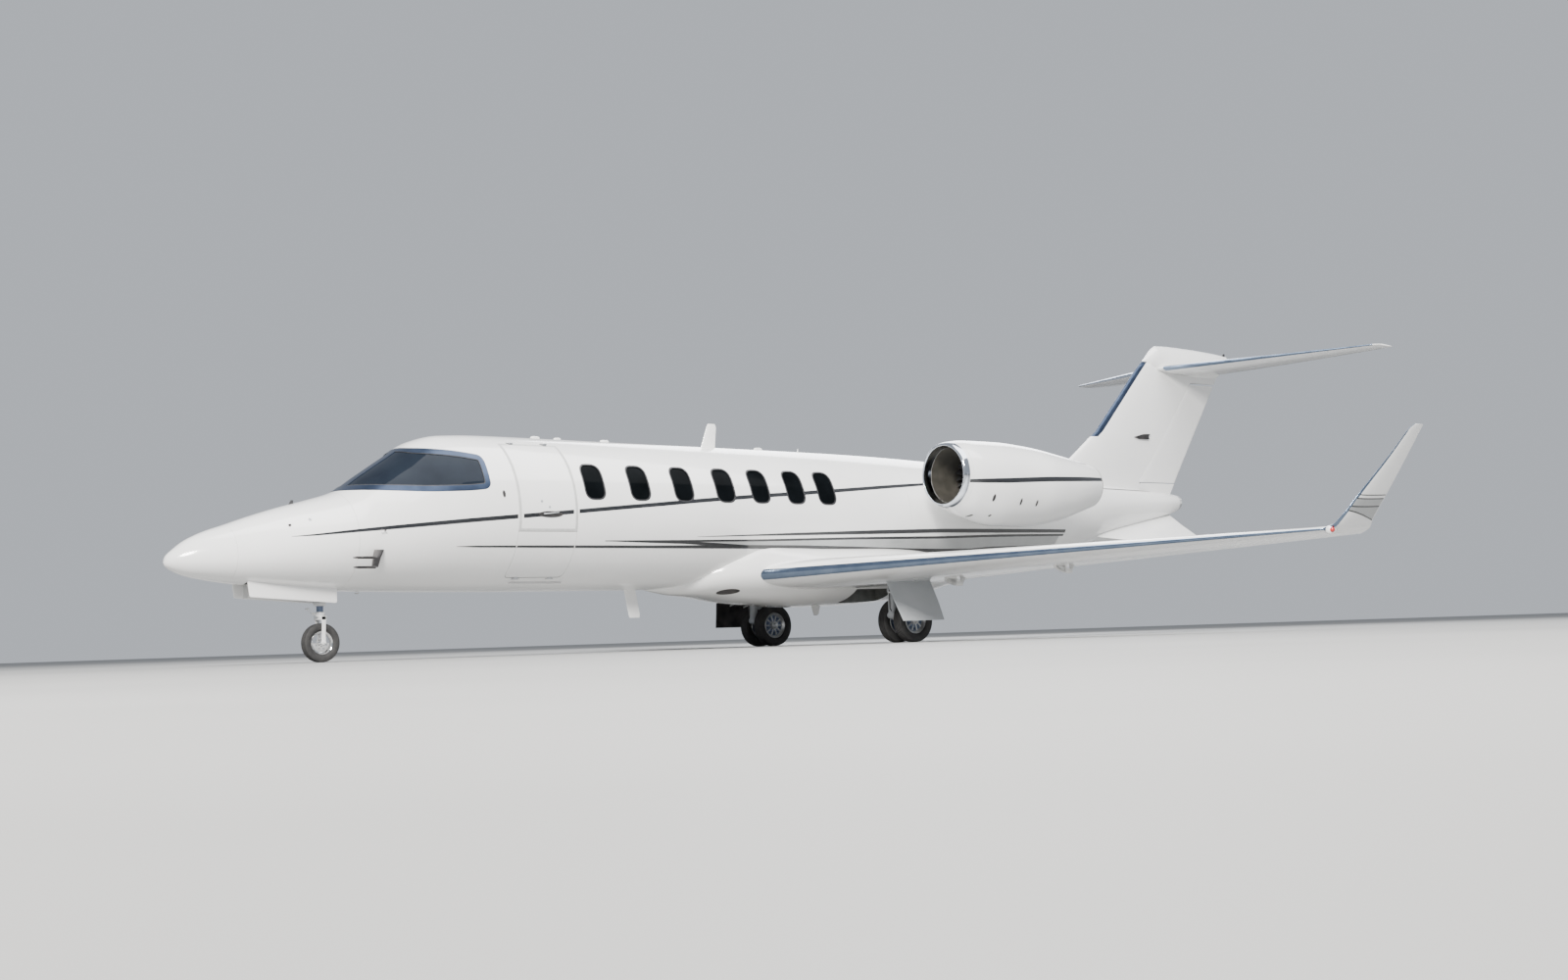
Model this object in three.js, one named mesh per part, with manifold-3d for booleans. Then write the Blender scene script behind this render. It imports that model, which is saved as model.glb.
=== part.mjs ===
// Business jet with a T tail, parked on its landing gear.
// Units are millimetres, +X aft, +Y to starboard, +Z up.
// Shapes are written in stations: X from the nose tip, Z from the ground. The whole group is then
// moved forward by half the length, so that its origin is on the ground at mid length.
import * as THREE from 'three';
import { mergeVertices } from 'three/addons/utils/BufferGeometryUtils.js';
import Module from 'manifold-3d';

const wasm = await Module();
wasm.setup();

// Driving dimensions
const length = 17670;
const seam = 0.3;
const movingGap = 7;
const pinRadius = 6;
const pinClearance = 0.7;
const wall = 75;
const ringSides = 32;

// Joints between the fuselage sections
const radomeEnd = 690;
const noseSectionEnd = 1990;
const cabinEnd = 10000;
const fuselageEnd = 16215;
const tailHollowEnd = 15000;
const tailWall = 60;

// Nose wheel and main wheels
const noseWheelStation = 1835;
const noseTyreRadius = 218;
const noseTyreWidth = 112;
const noseRimRadius = 118;
const mainWheelStation = 9330;
const mainTrack = 2810;
const mainTyreRadius = 279.5;
const mainTyreWidth = 146;
const mainRimRadius = 172;
const twinSpacing = 290;

// Engines
const engineOffset = 1500;
const fanRadius = 352;
const fanStation = 10560;
const nozzleRadius = 255;

// Fuselage sections: station, half width, top, bottom, height of the widest point
const fuselageRows = [
  [0, 4, 1122, 1110, 1116],
  [25, 58, 1188, 1070, 1126],
  [100, 122, 1254, 1024, 1134],
  [240, 198, 1352, 971, 1142],
  [460, 284, 1450, 925, 1153],
  [700, 356, 1525, 890, 1174],
  [1000, 436, 1621, 857, 1206],
  [1350, 520, 1720, 826, 1249],
  [1700, 598, 1806, 802, 1297],
  [2030, 664, 1900, 786, 1350],
  [2350, 720, 2098, 777, 1404],
  [2690, 774, 2308, 771, 1462],
  [3000, 816, 2488, 765, 1522],
  [3350, 848, 2568, 761, 1578],
  [3800, 868, 2584, 756, 1622],
  [4300, 875, 2580, 752, 1645],
  [6500, 875, 2546, 748, 1640],
  [9000, 875, 2508, 742, 1622],
  [10000, 866, 2482, 763, 1622],
  [10900, 836, 2443, 832, 1640],
  [11800, 770, 2390, 937, 1675],
  [12800, 655, 2324, 1089, 1734],
  [13800, 512, 2248, 1275, 1800],
  [14700, 368, 2170, 1462, 1858],
  [15500, 240, 2105, 1640, 1900],
  [16100, 150, 2066, 1790, 1935],
  [16215, 110, 2050, 1835, 1942],
];

// Engine nacelle sections: station, half width, top, bottom
const nacelleRows = [
  [9985, 388, 2522, 1750],
  [10005, 410, 2546, 1726],
  [10070, 428, 2562, 1706],
  [10300, 484, 2584, 1604],
  [10850, 532, 2578, 1482],
  [11400, 532, 2534, 1474],
  [12000, 470, 2440, 1545],
  [12350, 400, 2375, 1640],
  [12650, 318, 2318, 1724],
];
const lipEnd = 10120;

// Wing sections: distance from the middle, leading edge, chord, height of the leading edge,
// thickness over chord, angle of the chord in degrees
const wingRows = [
  [560, 7350, 3000, 905, 0.135, 2.6],
  [1000, 7560, 2790, 912, 0.132, 2.8],
  [2700, 8380, 2060, 972, 0.125, 3.2],
  [4900, 9440, 1370, 1050, 0.115, 3.6],
  [7080, 10490, 690, 1126, 0.105, 4.0],
];

// Winglet sections: distance from the middle, leading edge, chord, height, thickness over chord,
// lean from level in degrees
const wingletRows = [
  [7080.3, 10490, 690, 1126, 0.105, 0],
  [7200, 10505, 668, 1160, 0.100, 24],
  [7275, 10537, 608, 1235, 0.095, 50],
  [7350, 10604, 556, 1350, 0.090, 64],
  [7425, 10703, 508, 1500, 0.085, 66],
  [7600, 11025, 335, 1900, 0.080, 66],
  [7735, 11270, 215, 2225, 0.080, 66],
  [7755, 11340, 150, 2268, 0.080, 66],
];

// Cabin window centres along the fuselage, and each window's size
const windowStations = [5010, 5665, 6315, 6955, 7505, 8075, 8585];
const farWindowStation = 4355;
const windowWidth = 285;
const windowHeight = 423;
const windowCorner = 105;
const windowMiddle = 2009;

// Entry door on the port side
const doorFront = 3930;
const doorBack = 4735;
const doorSplit = 1419;
const doorTopOffset = 430;
const doorBottom = 902;

const white = { color: 0xf1f1ee, roughness: 0.22, metalness: 0 };
const polished = { color: 0xc9cdd2, roughness: 0.12, metalness: 1 };
const dark = { color: 0x15171a, roughness: 0.6, metalness: 0 };
const glass = { color: 0x20262b, roughness: 0.08, metalness: 0 };
const rubber = { color: 0x1a1a1b, roughness: 0.85, metalness: 0 };
const gearMetal = { color: 0xb9bcbd, roughness: 0.4, metalness: 0.7 };
const leather = { color: 0xb7a78f, roughness: 0.6, metalness: 0 };
const carpet = { color: 0x8b8579, roughness: 0.95, metalness: 0 };

const jet = new THREE.Group();
jet.position.x = -length / 2;

// Solids
function toSolid(geometry) {
  const bare = geometry.clone();
  bare.deleteAttribute('normal');
  bare.deleteAttribute('uv');
  const merged = mergeVertices(bare, 1e-4);
  const mesh = new wasm.Mesh({
    numProp: 3,
    vertProperties: new Float32Array(merged.attributes.position.array),
    triVerts: new Uint32Array(merged.index.array),
  });
  return new wasm.Manifold(mesh);
}

function toGeometry(solid) {
  const mesh = solid.getMesh();
  const geometry = new THREE.BufferGeometry();
  geometry.setAttribute('position', new THREE.BufferAttribute(new Float32Array(mesh.vertProperties), 3));
  geometry.setIndex(new THREE.BufferAttribute(new Uint32Array(mesh.triVerts), 1));
  return geometry;
}

function join(first, ...others) {
  return others.reduce((sum, solid) => sum.add(solid), first);
}

function addPiece(name, solid, finish) {
  const mesh = new THREE.Mesh(toGeometry(solid), new THREE.MeshStandardMaterial(finish));
  mesh.geometry.computeVertexNormals();
  mesh.name = name;
  jet.add(mesh);
}

// A closed body through rings of points, with a fan of triangles over each end.
function loft(rings) {
  const sides = rings[0].length;
  const positions = rings.flat().flatMap((point) => [point.x, point.y, point.z]);
  const triangles = [];
  for (let ring = 0; ring + 1 < rings.length; ring += 1) {
    for (let side = 0; side < sides; side += 1) {
      const next = (side + 1) % sides;
      const a = ring * sides + side;
      const b = ring * sides + next;
      triangles.push(a, b, b + sides, a, b + sides, a + sides);
    }
  }
  const ends = [[0, rings[0], 1], [(rings.length - 1) * sides, rings.at(-1), -1]];
  for (const [start, ring, way] of ends) {
    const middle = new THREE.Vector3();
    ring.forEach((point) => middle.addScaledVector(point, 1 / sides));
    const hub = positions.length / 3;
    positions.push(middle.x, middle.y, middle.z);
    for (let side = 0; side < sides; side += 1) {
      const a = start + side;
      const b = start + (side + 1) % sides;
      triangles.push(...(way > 0 ? [hub, b, a] : [hub, a, b]));
    }
  }
  const at = (index) => new THREE.Vector3().fromArray(positions, index * 3);
  let volume = 0;
  for (let i = 0; i < triangles.length; i += 3) {
    volume += at(triangles[i]).dot(at(triangles[i + 1]).cross(at(triangles[i + 2])));
  }
  if (volume < 0) triangles.reverse();
  const geometry = new THREE.BufferGeometry();
  geometry.setAttribute('position', new THREE.Float32BufferAttribute(positions, 3));
  geometry.setIndex(triangles);
  return toSolid(geometry);
}

function box(xLow, xHigh, yLow, yHigh, zLow, zHigh) {
  const geometry = new THREE.BoxGeometry(xHigh - xLow, yHigh - yLow, zHigh - zLow);
  geometry.translate((xLow + xHigh) / 2, (yLow + yHigh) / 2, (zLow + zHigh) / 2);
  return toSolid(geometry);
}

// A round bar between two points, which may taper.
function bar(from, to, radius, endRadius = radius, sides = 16) {
  const start = new THREE.Vector3(...from);
  const end = new THREE.Vector3(...to);
  const along = end.clone().sub(start);
  const geometry = new THREE.CylinderGeometry(endRadius, radius, along.length(), sides);
  geometry.applyQuaternion(new THREE.Quaternion().setFromUnitVectors(
    new THREE.Vector3(0, 1, 0), along.clone().normalize()));
  const middle = start.add(end).multiplyScalar(0.5);
  geometry.translate(middle.x, middle.y, middle.z);
  return toSolid(geometry);
}

// Pins on a hinge line, each fixed in the rib beyond an end of the surface and reaching into it.
// The holes for them are the same bars, a little larger.
const pinRoot = 24;
const pinReach = 60;
const pinSides = 8;
const noseSides = 12;
function hingePins(start, end, startGap, endGap, extra = 0) {
  const from = new THREE.Vector3(...start);
  const way = new THREE.Vector3(...end).sub(from);
  const span = way.length();
  way.normalize();
  const at = (distance) => from.clone().addScaledVector(way, distance).toArray();
  const reach = pinReach + extra * 3;
  const radius = pinRadius + extra;
  return join(bar(at(-startGap - pinRoot), at(reach), radius, radius, pinSides),
    bar(at(span - reach), at(span + endGap + pinRoot), radius, radius, pinSides));
}

function shapeOf(points) {
  return new THREE.Shape(points.map(([x, y]) => new THREE.Vector2(x, y)));
}

// An outline in the side view (station, height), extruded across.
function sidePrism(outline, yLow, yHigh) {
  const shape = outline instanceof THREE.Shape ? outline : shapeOf(outline);
  const geometry = new THREE.ExtrudeGeometry(shape, {
    depth: yHigh - yLow, bevelEnabled: false, curveSegments: 2,
  });
  geometry.rotateX(Math.PI / 2);
  geometry.translate(0, yHigh, 0);
  return toSolid(geometry);
}

// An outline in the plan view (station, distance from the middle), extruded upwards.
function planPrism(outline, zLow, zHigh) {
  const geometry = new THREE.ExtrudeGeometry(shapeOf(outline), {
    depth: zHigh - zLow, bevelEnabled: false,
  });
  geometry.translate(0, 0, zLow);
  return toSolid(geometry);
}

// A profile (radius, offset along the axle) turned about an axle that runs across the aircraft.
function turned(profile, station, y, z, sides) {
  const geometry = new THREE.LatheGeometry(profile.map(([r, a]) => new THREE.Vector2(r, a)), sides);
  geometry.rotateY(Math.PI / 2);
  geometry.translate(station, y, z);
  return toSolid(geometry);
}

function mirrored(solid) {
  return solid.mirror([0, 1, 0]);
}

function roundedOutline(middleX, middleZ, width, tall, corner) {
  const shape = new THREE.Shape();
  const left = middleX - width / 2;
  const right = middleX + width / 2;
  const low = middleZ - tall / 2;
  const high = middleZ + tall / 2;
  shape.moveTo(left + corner, low);
  shape.lineTo(right - corner, low);
  shape.absarc(right - corner, low + corner, corner, -Math.PI / 2, 0, false);
  shape.lineTo(right, high - corner);
  shape.absarc(right - corner, high - corner, corner, 0, Math.PI / 2, false);
  shape.lineTo(left + corner, high);
  shape.absarc(left + corner, high - corner, corner, Math.PI / 2, Math.PI, false);
  shape.lineTo(left, low + corner);
  shape.absarc(left + corner, low + corner, corner, Math.PI, Math.PI * 1.5, false);
  return shape;
}

// Fuselage surface
function rowAt(rows, place) {
  const last = rows.findIndex((row) => row[0] >= place);
  if (last <= 0) return rows[Math.max(last, 0)];
  const before = rows[last - 1];
  const after = rows[last];
  const share = (place - before[0]) / (after[0] - before[0]);
  return before.map((value, column) => value + (after[column] - value) * share);
}

function placesBetween(rows, from, to) {
  return [from, ...rows.map((row) => row[0]).filter((place) => place > from + 1 && place < to - 1), to];
}

function fuselageRing(station, grow, sides = ringSides, at = station) {
  const [, halfWidth, top, bottom, side] = rowAt(fuselageRows, station);
  const ring = [];
  for (let i = 0; i < sides; i += 1) {
    const angle = (i / sides) * Math.PI * 2;
    const reach = Math.sin(angle) > 0 ? top - side : side - bottom;
    ring.push(new THREE.Vector3(at, Math.cos(angle) * (halfWidth + grow),
      side + Math.sin(angle) * (reach + grow)));
  }
  return ring;
}

function fuselage(from, to, grow = 0, sides = ringSides) {
  return loft(placesBetween(fuselageRows, from, to).map((station) => fuselageRing(station, grow, sides)));
}

// Aerofoil sections
const foilSteps = [0, 0.02, 0.08, 0.22, 0.42, 0.66, 0.86, 1];
function foilHalfThickness(share) {
  const curve = 0.2969 * Math.sqrt(share) - 0.126 * share - 0.3516 * share ** 2
    + 0.2843 * share ** 3 - 0.1015 * share ** 4;
  return 5 * curve + 0.012 * share;
}

// One section: chordwise share and height over chord, over the top and back along the bottom.
function foilOutline(thickness, camber) {
  const upper = foilSteps.map((share) => [share,
    foilHalfThickness(share) * thickness + camber * 4 * share * (1 - share)]);
  const lower = foilSteps.slice(1).map((share) => [share,
    -foilHalfThickness(share) * thickness + camber * 4 * share * (1 - share)]);
  return [...upper, ...lower.reverse()];
}

function wingRing([y, leading, chord, z, thickness, angle], side, camber = 0.012) {
  const turn = THREE.MathUtils.degToRad(angle);
  return foilOutline(thickness, camber).map(([share, rise]) => new THREE.Vector3(
    leading + chord * (share * Math.cos(turn) + rise * Math.sin(turn)),
    side * y,
    z + chord * (rise * Math.cos(turn) - share * Math.sin(turn))));
}

function wing(side) {
  return loft(wingRows.map((row) => wingRing(row, side)));
}

function winglet(side) {
  return loft(wingletRows.map(([y, leading, chord, z, thickness, lean]) => {
    const tilt = THREE.MathUtils.degToRad(lean);
    const fade = 1 - Math.min(lean / 50, 1);
    const drop = THREE.MathUtils.degToRad(4) * fade;
    return foilOutline(thickness, 0.012 * fade).map(([share, rise]) => new THREE.Vector3(
      leading + chord * share,
      side * (y - chord * rise * Math.sin(tilt)),
      z + chord * (rise * Math.cos(tilt) - share * Math.sin(drop))));
  }));
}

// The same outline drawn in by a distance; its points run anticlockwise.
function inset(points, distance) {
  return points.map((point, index) => {
    const before = points.at(index - 1);
    const after = points[(index + 1) % points.length];
    const inOne = normalOf(before, point);
    const inTwo = normalOf(point, after);
    const scale = distance / (1 + inOne[0] * inTwo[0] + inOne[1] * inTwo[1]);
    return [point[0] + (inOne[0] + inTwo[0]) * scale, point[1] + (inOne[1] + inTwo[1]) * scale];
  });
}

function normalOf(from, to) {
  const size = Math.hypot(to[0] - from[0], to[1] - from[1]);
  return [-(to[1] - from[1]) / size, (to[0] - from[0]) / size];
}

// Flat pads for the jacks: a station, a distance from the middle and the height of the face
const jackPads = { nose: [2300, 0, 766], wing: [8850, 2150, 778] };
const padRadius = 30;
function jackPad([station, y, z]) {
  return bar([station, y, z], [station, y, z + 40], padRadius, padRadius, 20);
}

// Nose and tail sections
const bayFront = 880;
const bayBack = 1940;
const bayHalfWidth = 165;
const bayTop = 1150;
const noseLegTop = bayTop - seam;
const noseBay = box(bayFront, bayBack, -bayHalfWidth, bayHalfWidth, 600, bayTop);
addPiece('radome', fuselage(0, radomeEnd), white);
addPiece('nose_section', fuselage(radomeEnd + seam, noseSectionEnd).subtract(noseBay), white);
addPiece('tail_section', fuselage(cabinEnd + seam, fuselageEnd)
  .subtract(fuselage(cabinEnd - 10, tailHollowEnd, -tailWall, 16)), white);

// Cabin: a hollow shell with its windows and doorway cut through
const windshieldOutline = [
  [1700, 1930], [2455, 1881], [2850, 1865], [3331, 1878], [3545, 1900], [3600, 1950], [3604, 2255],
  [3570, 2308], [3277, 2357], [2870, 2398], [2790, 2440], [2600, 2640], [1700, 2400],
];
const frameWidth = 66;
const postHalfWidth = 75;
const farSide = 1200;
const cabinSpace = (grow) => fuselage(2075, cabinEnd - 250, grow);
const cabinWalls = fuselage(noseSectionEnd + seam, cabinEnd).subtract(cabinSpace(-wall));

function windowShape(station, shrink) {
  const drop = (station - windowStations[0]) * 0.006;
  return roundedOutline(station, windowMiddle - drop, windowWidth - shrink * 2,
    windowHeight - shrink * 2, windowCorner - shrink);
}

const windowsOn = { '-1': windowStations, 1: [farWindowStation, ...windowStations] };
function windowBlocks(side, shrink, inner = 0, outer = farSide) {
  return join(...windowsOn[side].map((station) => sidePrism(windowShape(station, shrink),
    side > 0 ? inner : -outer, side > 0 ? outer : -inner)));
}

const doorway = join(
  box(doorFront - movingGap, doorBack + movingGap, -farSide, -doorTopOffset + movingGap,
    doorSplit, 2700),
  box(doorFront - movingGap, doorBack + movingGap, -farSide, -100,
    doorBottom - movingGap, doorSplit + 1));

// Door hinges on the outer skin: the pin and its two lugs belong to the body, the eye to the leaf.
// Each line has the height and distance from the middle of its pin, then the lug and the eye block
// as nearest and farthest distance across and up from the pin.
const hingeStations = [4100, 4570];
const doorPinRadius = 4.5;
const eyeHalf = 24.7;
const lugHalf = 45;
const upperHinge = { y: -426.5, z: 2469, lug: [2.5, 27, -26, 7], eye: [-28, -1.5, -36, 3] };
const lowerHinge = { y: -486, z: 888, lug: [-4, 45, -7.5, 3], eye: [-8, 5, -2, 40] };
function hingeLugs({ y, z, lug }) {
  return join(...hingeStations.flatMap((station) => [
    bar([station - lugHalf, y, z], [station + lugHalf, y, z], doorPinRadius, doorPinRadius, pinSides),
    ...[[-lugHalf, -25], [25, lugHalf]].map(([from, to]) => join(
      bar([station + from, y, z], [station + to, y, z], 7.5, 7.5, pinSides),
      box(station + from, station + to, y + lug[0], y + lug[1], z + lug[2], z + lug[3]))),
  ]));
}
function hingeEyes({ y, z, eye }) {
  const hole = doorPinRadius + pinClearance;
  return join(...hingeStations.map((station) => join(
    bar([station - eyeHalf, y, z], [station + eyeHalf, y, z], 9, 9, pinSides),
    box(station - eyeHalf, station + eyeHalf, y + eye[0], y + eye[1], z + eye[2], z + eye[3]))
    .subtract(bar([station - 30, y, z], [station + 30, y, z], hole, hole, pinSides))));
}
addPiece('cabin_shell', cabinWalls
  .subtract(sidePrism(windshieldOutline, -farSide, farSide))
  .subtract(doorway)
  .subtract(windowBlocks(-1, 0))
  .subtract(windowBlocks(1, 0))
  .add(hingeLugs(upperHinge)).add(hingeLugs(lowerHinge))
  .add(jackPad(jackPads.nose)), white);

// Entry door in two leaves: the upper one lifts, the lower one folds down and carries the steps
const upperLeaf = box(doorFront, doorBack, -farSide, -doorTopOffset, doorSplit + movingGap / 2, 2700);
const lowerLeaf = box(doorFront, doorBack, -farSide, -100, doorBottom, doorSplit - movingGap / 2);
addPiece('door_upper', cabinWalls.intersect(upperLeaf).add(hingeEyes(upperHinge)), white);
addPiece('door_lower', cabinWalls.intersect(lowerLeaf).add(hingeEyes(lowerHinge)), white);

// Windshield: a frame with a centre post and one pane on each side
const windshieldSkin = (thickness) => fuselage(noseSectionEnd + seam, 4300)
  .subtract(fuselage(noseSectionEnd - 40, 4400, -thickness));
const glassBlock = sidePrism(inset(windshieldOutline, frameWidth), -farSide, farSide);
const post = box(1900, 3000, -postHalfWidth, postHalfWidth, 1800, 2500);
addPiece('windshield_frame', windshieldSkin(wall)
  .intersect(sidePrism(inset(windshieldOutline, seam), -farSide, farSide))
  .subtract(glassBlock.subtract(post)), polished);
for (const [name, side] of [['windshield_left', -1], ['windshield_right', 1]]) {
  const half = box(1900, 3700, postHalfWidth + seam, farSide, 1500, 2700);
  const pane = windshieldSkin(28)
    .intersect(sidePrism(inset(windshieldOutline, frameWidth + seam), -farSide, farSide))
    .intersect(side > 0 ? half : mirrored(half));
  addPiece(name, pane, glass);
}

// Cabin window panes, held together on each side by a narrow strip along their lower edges
const stripThickness = 8;
const paneDepth = 14;
const stripLow = 1800;
const stripHigh = 1822;
for (const [name, side] of [['cabin_windows_left', -1], ['cabin_windows_right', 1]]) {
  const from = Math.min(...windowsOn[side]) - 100;
  const to = Math.max(...windowsOn[side]) + 100;
  const strip = cabinSpace(-wall - seam).subtract(cabinSpace(-wall - stripThickness))
    .intersect(box(from, to, side > 0 ? 300 : -farSide, side > 0 ? farSide : -300, stripLow, stripHigh));
  const panes = windowsOn[side].map((station) => {
    const barrel = (grow) => loft([-windowWidth, windowWidth].map((shift) => (
      fuselageRing(station, grow, ringSides, station + shift))));
    const outline = sidePrism(windowShape(station, seam), side > 0 ? 300 : -farSide, side > 0 ? farSide : -300);
    return barrel(-paneDepth).subtract(barrel(-wall - stripThickness)).intersect(outline);
  });
  addPiece(name, join(strip, ...panes), glass);
}

// Cabin floor, instrument panel and seats
const floorTop = 1020;
const insideSpace = cabinSpace(-wall - seam);
const sillNotch = box(doorFront - 30, doorBack + 30, -farSide, -340, 800, 1100);
addPiece('cabin_floor', insideSpace
  .intersect(box(2350, 9600, -700, 700, floorTop - 40, floorTop))
  .subtract(sillNotch), carpet);
addPiece('instrument_panel', insideSpace.intersect(join(
  box(2560, 2700, -620, 620, 1340, 1890),
  box(2500, 2700, -620, 620, 1830, 1890),
  box(2560, 2700, -90, 90, floorTop + seam, 1400),
  box(2600, 3150, -90, 90, floorTop + seam, 1290))), dark);

const seatWidth = 420;
const railWidth = 60;
function seat(station, y, facing) {
  const outline = [
    [-230, 1290], [-230, 1400], [170, 1410], [300, 1990], [390, 1980], [270, 1290],
    [120, 1250], [120, 1050], [-120, 1050], [-120, 1250],
  ].map(([x, z]) => [station + x * facing, z]);
  if (facing < 0) outline.reverse();
  return sidePrism(outline, y - seatWidth / 2, y + seatWidth / 2);
}

const cabinSeats = [[5350, 1], [6850, -1], [7350, 1], [8900, -1]];
for (const [name, side] of [['seats_left', -1], ['seats_right', 1]]) {
  const railMiddle = side * 290;
  const rail = box(2950, 9150, railMiddle - railWidth / 2, railMiddle + railWidth / 2,
    floorTop + seam, 1060);
  addPiece(name, join(rail, seat(3080, side * 400, 1),
    ...cabinSeats.map(([station, facing]) => seat(station, side * 430, facing)))
    .intersect(cabinSpace(-wall - 20)), leather);
}

// Wings with their flaps and ailerons
const flapSpan = [1075, 4240];
const aileronSpan = [4320, 6650];
const flapShare = 0.74;
const aileronShare = 0.76;
const flapHingeShare = 0.76;
const slot = 14;
const flapRootGap = 37;
const flapEndGap = 32;
const aileronEndGap = 13;
const noseAllowance = 6;

function wingPoint(y, share, rise = 0) {
  const [, leading, chord, z, thickness, angle] = rowAt(wingRows, y);
  const turn = THREE.MathUtils.degToRad(angle);
  const lift = 0.012 * 4 * share * (1 - share) + rise * foilHalfThickness(share) * thickness;
  return [leading + chord * (share * Math.cos(turn) + lift * Math.sin(turn)), y,
    z + chord * (lift * Math.cos(turn) - share * Math.sin(turn))];
}

// The part of the wing behind a hinge line, with a round nose on that line. A swept surface moves
// outward as it turns, so that its outer gap is the wider one.
function surfaceCutter(from, to, share, grow, outer = grow) {
  const start = wingPoint(from, share);
  const end = wingPoint(to, share);
  const noseRadius = (y) => {
    const [, , chord, , thickness] = rowAt(wingRows, y);
    return foilHalfThickness(share) * thickness * chord + noseAllowance;
  };
  const behind = planPrism([
    [start[0], from - grow], [start[0] + 2500, from - grow],
    [end[0] + 2500, to + outer], [end[0], to + outer],
  ], 300, 2000);
  const nose = bar([start[0], from - grow, start[2]], [end[0], to + outer, end[2]],
    noseRadius(from) + grow, noseRadius(to) + grow, noseSides);
  return behind.add(nose);
}

function flapCutter(grow, inner = grow, outer = grow) {
  const [from, to] = flapSpan;
  const front = flapShare - grow / 2400;
  const start = wingPoint(from, front);
  const end = wingPoint(to, front);
  return planPrism([
    [start[0], from - inner], [start[0] + 2500, from - inner],
    [end[0] + 2500, to + outer], [end[0], to + outer],
  ], 300, 2000);
}

const bodySkin = fuselage(4300, 13800, seam);
const plainWing = wing(1);
const aileronLine = aileronSpan.map((y) => wingPoint(y, aileronShare));
const aileron = plainWing.intersect(surfaceCutter(...aileronSpan, aileronShare, 0))
  .subtract(hingePins(...aileronLine, movingGap, aileronEndGap, pinClearance));

// The flap turns about a line below it. Two brackets under the wing hold the pins, and an arm on the
// flap swings between each bracket's plates. Outlines are aft of and above the pin.
const flapLine = [[flapSpan[0], 170], [flapSpan[1], 120]].map(([y, drop]) => {
  const [x, , z] = wingPoint(y, flapHingeShare);
  return [x, y, z - drop];
});
const bracketPlaces = [1900, 3500];
const bracketOutline = [[-330, 50], [-170, -8], [-50, -20], [22, -20], [22, 16], [-30, 40], [-100, 44],
  [-112, 100], [-330, 100]];
const armOutline = [[-15, -13], [13, -15], [120, 88], [112, 125], [22, 125], [-15, 12]];
const armHalf = 7;
const plateInner = 12;
const plateOuter = 20;
const webBack = -130;
function atFlapHinge(solid, y) {
  const [start, end] = flapLine;
  const share = (y - start[1]) / (end[1] - start[1]);
  const sweep = Math.atan2(end[0] - start[0], end[1] - start[1]);
  const rise = Math.atan2(end[2] - start[2], Math.hypot(end[0] - start[0], end[1] - start[1]));
  return solid.rotate([THREE.MathUtils.radToDeg(rise), 0, -THREE.MathUtils.radToDeg(sweep)])
    .translate([start[0] + (end[0] - start[0]) * share, y, start[2] + (end[2] - start[2]) * share]);
}
const acrossPin = (radius) => bar([0, -plateOuter + 1, 0], [0, plateOuter - 1, 0], radius, radius, pinSides);
const bracket = join(
  sidePrism(bracketOutline, plateInner, plateOuter),
  sidePrism(bracketOutline, -plateOuter, -plateInner),
  sidePrism(bracketOutline, -plateOuter, plateOuter).intersect(box(-400, webBack, -50, 50, -50, 150)),
  acrossPin(pinRadius));
const flapArm = sidePrism(armOutline, -armHalf, armHalf).subtract(acrossPin(pinRadius + pinClearance));
const flap = join(plainWing.intersect(flapCutter(0)),
  ...bracketPlaces.map((y) => atFlapHinge(flapArm, y)));
const wingWithCuts = plainWing.add(jackPad(jackPads.wing))
  .subtract(flapCutter(slot, flapRootGap, flapEndGap))
  .subtract(surfaceCutter(...aileronSpan, aileronShare, movingGap, aileronEndGap))
  .add(hingePins(...aileronLine, movingGap, aileronEndGap))
  .add(join(...bracketPlaces.map((y) => atFlapHinge(bracket, y))));

// Belly fairing under the wing joint: station, half width, bottom, top edge
const fairingRows = [
  [6280, 300, 723, 1040],
  [6600, 560, 692, 1060],
  [7150, 850, 620, 1090],
  [7750, 990, 553, 1125],
  [8600, 1015, 500, 1130],
  [9400, 1010, 512, 1130],
  [10000, 940, 546, 1120],
  [10600, 780, 622, 1105],
  [11200, 560, 742, 1090],
  [11700, 340, 850, 1080],
];
const fairingCore = loft(fairingRows.map(([station, halfWidth, bottom, top]) => {
  const middle = top - 160;
  const ring = [];
  for (let i = 0; i < 24; i += 1) {
    const angle = (i / 24) * Math.PI * 2;
    const reach = Math.sin(angle) > 0 ? 160 : middle - bottom;
    const across = Math.sign(Math.cos(angle)) * Math.abs(Math.cos(angle)) ** 0.8;
    ring.push(new THREE.Vector3(station, across * halfWidth, middle + Math.sin(angle) * reach));
  }
  return ring;
}));
const wingSocket = loft(wingRows.map((row) => wingRing(
  [row[0], row[1] - seam, row[2] + seam * 3, row[3], row[4] + seam * 2 / row[2], row[5]], 1)));
const wheelWell = box(9020, 9700, 430, 1200, 400, 700);
const fairing = fairingCore
  .subtract(bodySkin)
  .subtract(wingSocket).subtract(mirrored(wingSocket))
  .subtract(wheelWell).subtract(mirrored(wheelWell));
addPiece('belly_fairing', fairing, white);

for (const [suffix, side] of [['left', -1], ['right', 1]]) {
  const place = (solid) => (side > 0 ? solid : mirrored(solid));
  addPiece(`wing_${suffix}`, place(wingWithCuts).subtract(bodySkin), white);
  addPiece(`winglet_${suffix}`, winglet(side), white);
  addPiece(`flap_${suffix}`, place(flap), white);
  addPiece(`aileron_${suffix}`, place(aileron), white);
}

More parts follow.
